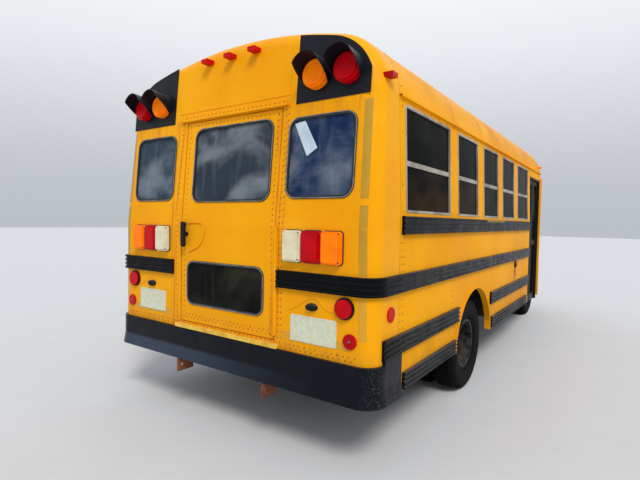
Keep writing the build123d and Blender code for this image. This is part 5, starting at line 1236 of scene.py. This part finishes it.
# %% [markdown]
# The two moulds are copied to all ten benches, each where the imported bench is, and fitted to the
# driver's seat. A welt, the sewn cord of a seam, runs along the upper edge of each pad.

# %% Benches
BENCH_ROWS = [0.420 + 0.725 * row for row in range(5)]


def pad_copy(mould, corner, scale=(1, 1, 1)):
    mesh = mould.data.copy()
    mesh.transform(Matrix.Translation(corner) @ Matrix.Diagonal((*scale, 1)))
    return coated(show("pad", mesh), bench_vinyl)


pads, welts = [], []
for x in BENCH_ROWS:
    for low_y in (0.185, -1.160):
        pads.append(pad_copy(cushion_mould, at(x + 0.096, low_y, 1.110)))
        pads.append(pad_copy(back_mould, at(x, low_y, 1.140)))
        along = [low_y + 0.02 + (BENCH_LENGTH - 0.04) * k / 8 for k in range(9)]
        welts.append([at(x + 0.486, y, 1.222) for y in along])
        welts.append([at(x + 0.089, y, 1.812) for y in along])
pads.append(pad_copy(cushion_mould, at(4.730, 0.330, 1.168), (1.04, 0.523, 0.52)))
pads.append(pad_copy(cushion_mould, at(4.622, 0.345, 1.100), (1.27, 0.490, 0.58)))
pads.append(pad_copy(back_mould, at(4.620, 0.330, 1.170), (1.22, 0.523, 1.04)))
for mould in (cushion_mould, back_mould):
    bpy.data.objects.remove(mould)
bench_pads = place(joined("bench_pads", pads))
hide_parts("seats")
seam_thread = matt("bench_welt", (34, 44, 33), (24, 32, 24), 20.0, 0.5, 400.0, 0.0003)
place(bead("bench_welts", welts, 0.0045, seam_thread, sides=1))
print("bench faces:", len(bench_pads.data.polygons))

# %% [markdown]
# Wheel nuts: one hexagon with a domed end, set eight times round each axle by the second tree.
# The outer disc of a rear pair sits deep in its rim, so its nuts are further in than the front
# wheels'.

# %% Wheel nuts
NUT_CIRCLE = 0.086
NUT_TURN = 0.2
NUT = ((0.0, 0.0), (0.0115, 0.0), (0.0115, 0.014), (0.0085, 0.019), (0.0, 0.021))
DISCS = {"rear_wheels_left": (REAR_AXLE, 0.944), "rear_wheels_right": (REAR_AXLE, -0.944),
         "front_wheel_left": (FRONT_AXLE, 1.005), "front_wheel_right": (FRONT_AXLE, -1.005)}
for body, (axle, disc) in DISCS.items():
    start = Vector((NUT_CIRCLE * math.cos(NUT_TURN), 0.0, NUT_CIRCLE * math.sin(NUT_TURN)))
    nut = turned(body + "_nuts", NUT, start, (0, math.copysign(1, disc), 0), bolt_steel, 6)
    nuts = grow(round_axis, nut, Count=8, Centre=at(axle, disc, TYRE_R), Axis=(0, 1, 0), Weld=WELD,
                Finish=bolt_steel)
    place(outward(nuts, WELD), body)
print("nuts on", len(DISCS), "wheels")

# %% [markdown]
# On the sides: the fuel filler's cap in its stained corner, screws along the black rails and the
# yellow strip left on the top one, the driver's door handle, and rubber seals where the two
# entry leaves meet.

# %% Side trims
CAP = ((0.0, 0.0), (0.050, 0.0), (0.050, 0.003), (0.044, 0.005), (0.040, 0.003), (0.038, 0.003),
       (0.037, 0.012), (0.033, 0.016), (0.012, 0.017), (0.011, 0.017), (0.0, 0.0165))
RAILS = ((1.4735, 0.40, 4.35), (1.1195, 0.36, 4.35), (0.749, 0.40, 1.25), (0.749, 2.62, 4.35),
         (0.498, 0.40, 1.25), (0.498, 2.62, 4.35))
SCREW_PITCH = 0.36
STRIP_Z = (1.509, 1.515, 1.521, 1.5275)
HANDLE_X, HANDLE_Z = 4.640, 1.255
SEAL_Y, SEAL_Z = -1.1695, (0.392, 0.80, 1.20, 1.60, 2.00, 2.108)

filler_cap = turned("fuel_filler_cap", CAP, at(3.600, -HALF, 1.010), RIGHTWARD, lamp_black, 28)
place(filler_cap)

rail_skin = surface_of("rub_rails")
rail_rows = []
for outside, inward in ((-1.5, LEFTWARD), (1.5, RIGHTWARD)):
    for z, x0, x1 in RAILS:
        count = round((x1 - x0) / SCREW_PITCH)
        row = [hit(rail_skin, at(x0 + (x1 - x0) * k / count, outside, z), inward)
               for k in range(count + 1)]
        rail_rows.append([spot for spot in row if spot])
screws = land_rivets("rail_screws", rail_rows, ["rub_rails"], SCREW_PITCH, 0.0062, 0.0032, bolt_steel)
place(screws)
# the rail's strip shares that paler yellow and its painted highlight
strip_grid = [[(at(2.2 + 0.1 * k, -1.5, z), LEFTWARD) for z in STRIP_Z] for k in range(8)]
place(sheet("sill_rail_strip", rail_skin, strip_grid, 0.0007, step_yellow))

driver_skin = surface_of("driver_door")
door_y = hit(driver_skin, at(HANDLE_X, 1.5, HANDLE_Z), RIGHTWARD).y


def on_door(u, v, w):
    return at(u, door_y + w, v)


cup = plate("cup", rounded(4.570, 4.715, 1.225, 1.285, 0.02), on_door, -0.0004, 0.004, dark_plastic)
pull = plate("pull", rounded(4.578, 4.708, 1.246, 1.278, 0.012), on_door, 0.003, 0.017, lamp_black)
place(joined("driver_door_handle", [cup, pull]), "driver_door")

for body, x in (("entry_rear_leaf", 4.8365), ("entry_front_leaf", 4.8635)):
    line = [at(x, SEAL_Y, z) for z in SEAL_Z]
    place(bead(body + "_seal", [line], 0.0050, gasket_rubber, order=2), body)
print("side trims set")

# %% [markdown]
# The stop sign keeps only its red face and white border, its word left off. A real one stands on
# a flat side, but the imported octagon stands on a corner, so a panel turned by half a side, with
# the same neck and hinge pin, stands for it.

# %% Stop sign and its border
SIGN_X, SIGN_Z, SIGN_FLAT = 4.075, 1.290, 0.225
SIGN_BACK, SIGN_FACE = 1.277, 1.282
NECK_LOW, NECK_HIGH, NECK_LENGTH = 1.250, 1.330, 0.060
PIN_X, PIN_Y, PIN_R = 4.330, 1.2795, 0.009
BORDER_OUT, BORDER_IN, BORDER_RISE = 0.006, 0.024, 0.0008


def octagon(flat):
    """Corners of an octagon on a flat side; flat is the distance from its middle to a side."""
    reach = flat / math.cos(math.radians(22.5))
    turns = [math.radians(22.5 + 45 * k) for k in range(8)]
    return [(SIGN_X + reach * math.cos(a), SIGN_Z + reach * math.sin(a)) for a in turns]


def on_sign(u, v, w):
    return at(u, w, v)


sign_white = matt("sign_white", (232, 232, 228), (206, 206, 200), 9.0, 0.4, 600.0, 0.0001)
neck = [(PIN_X - NECK_LENGTH, NECK_LOW), (PIN_X, NECK_LOW), (PIN_X, NECK_HIGH),
        (PIN_X - NECK_LENGTH, NECK_HIGH)]
pin = [(PIN_X + PIN_R * math.cos(math.tau * k / 16), PIN_Y + PIN_R * math.sin(math.tau * k / 16))
       for k in range(16)]
sign_parts = [plate("panel", octagon(SIGN_FLAT), on_sign, SIGN_BACK, SIGN_FACE, stop_red),
              plate("neck", neck, on_sign, SIGN_BACK + 0.0002, SIGN_FACE - 0.0002, stop_red),
              plate("pin", pin, at, 1.2293, 1.3507, stop_red)]
stop_panel = place(joined("stop_sign_panel", sign_parts), "stop_arm")
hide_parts("stop_sign")
borders = []
for face_y, rise in ((SIGN_FACE, BORDER_RISE), (SIGN_BACK, -BORDER_RISE)):
    points, faces = [], []
    for inset, lift in ((BORDER_OUT, 0.0), (BORDER_OUT, rise), (BORDER_IN, rise), (BORDER_IN, 0.0)):
        points += [at(u, face_y + lift, v) for u, v in octagon(SIGN_FLAT - inset)]
    for ring in range(4):
        low, high = ring * 8, (ring + 1) % 4 * 8
        faces += [(low + k, low + (k + 1) % 8, high + (k + 1) % 8, high + k) for k in range(8)]
    borders.append(mesh_object("border", points, faces, sign_white))
place(joined("stop_sign_border", borders), "stop_arm")
print("stop sign", len(sign_parts), "parts")

# %% [markdown]
# At the front, the windshield gets two parked wipers and the headlamps a dark surround. Rays
# find the screen, so that the blades lie on it.

# %% Wipers and headlamp surrounds
screen = surface_of("window_glass")
lamp_skin = surface_of("clear_lamps")


def dense(points, most=0.06):
    """A closed outline with extra points on its long edges."""
    full = []
    for p, q in zip(points, points[1:] + points[:1]):
        count = max(1, math.ceil((Vector(q) - Vector(p)).length / most))
        full += [tuple(Vector(p).lerp(Vector(q), k / count)) for k in range(count)]
    return full


def on_screen(y, z, proud):
    spot, normal = screen.ray_cast(at(7.0, y, z), BACKWARD)[:2]
    return spot + (normal if normal.x > 0 else -normal) * proud


wiper_parts = []
for pivot, tip, near in ((0.22, 0.74, 0.30), (-0.62, -0.06, -0.52)):
    root = on_screen(pivot, 1.395, 0.012)
    root.z = 1.372
    elbow = on_screen((pivot + tip) / 2, 1.425, 0.028)
    hold = on_screen((tip + near) / 2, 1.452, 0.020)
    blade = [on_screen(near + (tip - near) * k / 6, 1.440 + 0.020 * k / 6, 0.0065) for k in range(7)]
    spine = [on_screen(near + (tip - near) * k / 6, 1.443 + 0.020 * k / 6, 0.015) for k in range(1, 6)]
    wiper_parts += [bead("arm", [[root, elbow, hold]], 0.0055, lamp_black),
                    bead("blade", [blade], 0.0050, gasket_rubber),
                    bead("spine", [spine], 0.0035, lamp_black)]
place(joined("wipers", wiper_parts))

surrounds = []
for side in (-1, 1):
    outline = dense(rounded(0.609, 0.841, 0.840, 1.030, 0.025, 5), 0.02)
    path = [hit(lamp_skin, at(7.2, side * y, z), BACKWARD) for y, z in outline]
    surrounds.append(bead("surround", [[p for p in path if p]], 0.0045, dark_plastic, closed=True,
                          sides=1, order=2))
place(joined("headlamp_surrounds", surrounds))
print("wipers and surrounds set")

# %% [markdown]
# Each fixed window of the cab sits in rubber, and so does the driver's. The bead runs just
# outside the opening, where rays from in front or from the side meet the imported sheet.

# %% Rubber round the cab's windows
RUBBER_OUT = 0.006


def outset(points, by):
    """An outline moved outwards by a distance, whichever way round it runs."""
    turn = sum(p[0] * q[1] - q[0] * p[1] for p, q in zip(points, points[1:] + points[:1]))
    by = math.copysign(by, turn)
    moved = []
    for before, p, after in zip(points[-1:] + points[:-1], points, points[1:] + points[:1]):
        a = (Vector(p) - Vector(before)).normalized()
        b = (Vector(after) - Vector(p)).normalized()
        out = Vector((a.y + b.y, -a.x - b.x)).normalized()
        away = by / max(0.3, out.dot(Vector((a.y, -a.x))))
        moved.append((p[0] + out.x * away, p[1] + out.y * away))
    return moved


def from_front(y, z):
    return at(7.0, y, z)


def from_left(x, z):
    return at(x, 1.6, z)


def from_right(x, z):
    return at(x, -1.6, z)


def window_rubber(name, skin, outline, start, along, radius=0.008):
    """A bead round a window; start turns an outline point into where its ray begins."""
    path = [hit(skin, start(u, v), along) for u, v in dense(outset(outline, RUBBER_OUT))]
    return bead(name, [[p for p in path if p]], radius, gasket_rubber, closed=True, order=2)


SCREEN = [(-0.880, 1.385), (0.880, 1.385), (0.800, 2.060), (-0.800, 2.060)]
LIGHT_LEFT = [(5.445, 1.405), (5.765, 1.405), (5.445, 1.990)]
LIGHT_RIGHT = [(5.525, 1.405), (5.765, 1.405), (5.525, 1.844)]
QUARTER = [(5.330, 1.400), (5.460, 1.400), (5.460, 2.050), (5.330, 2.050)]
DRIVER_PANE = rounded(4.580, 5.280, 1.385, 2.010, 0.05, 5)
cab_skin = surface_of("cab_shell")
rubbers = [window_rubber("rubber", cab_skin, SCREEN, from_front, BACKWARD, 0.010),
           window_rubber("rubber", cab_skin, LIGHT_LEFT, from_left, RIGHTWARD),
           window_rubber("rubber", cab_skin, LIGHT_RIGHT, from_right, LEFTWARD),
           window_rubber("rubber", cab_skin, QUARTER, from_right, LEFTWARD, 0.007)]
place(joined("cab_window_rubbers", rubbers))
rubber = window_rubber("driver_window_rubber", driver_skin, DRIVER_PANE, from_left, RIGHTWARD)
place(rubber, "driver_door")
print("window rubbers set")

# %% [markdown]
# Behind the grille, a dark radiator core closes the view into the engine bay. Its thin fins are
# a sine along the height, its tubes a sine across.

# %% Radiator core behind the grille
CORE_X, FIN_PITCH, TUBE_PITCH = 6.560, 0.0045, 0.020


def radiator_finish():
    f = Finish("radiator_fins", (26, 26, 27), Specular_IOR_Level=0.2)
    fins = f.calc("SINE", f.times(f.z, math.tau / FIN_PITCH))
    tubes = f.calc("SINE", f.times(f.y, math.tau / TUBE_PITCH))
    dusty = f.patch(9.0, 6.0, 0.4, 0.7)
    f.coat((44, 41, 37), dusty)
    f.coat((18, 18, 19), f.step(tubes, 0.6, 0.9))
    return f.done(Roughness=f.spread(dusty, 0.5, 0.8), Normal=f.bump(fins, 0.0008))


def on_front(u, v, w):
    return at(CORE_X + w, u, v)


core = plate("radiator_core", rounded(-0.500, 0.500, 0.740, 1.060, 0.012), on_front, -0.020, 0.004,
             radiator_finish())
place(core)
print("radiator core set")

# %% [markdown]
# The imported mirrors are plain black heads. A thin bright plate on the rear face of each is its
# glass.

# %% Mirror glass
mirror_glass = metal("mirror_glass", (226, 230, 234), (206, 211, 216), 3.0, 1.0, 0.04)
mirror_skin = surface_of("mirrors")
faces = []
for side in (-1, 1):
    face = hit(mirror_skin, at(4.9, side * 1.112, 1.50), FORWARD)
    outline = [(side * y, z) for y, z in rounded(1.060, 1.164, 1.345, 1.675, 0.018)]
    faces.append(plate("glass", outline, lambda u, v, w: Vector((face.x - w, u, v)), -0.0005, 0.0025,
                       mirror_glass))
place(joined("mirror_faces", faces))
print("mirrors set")
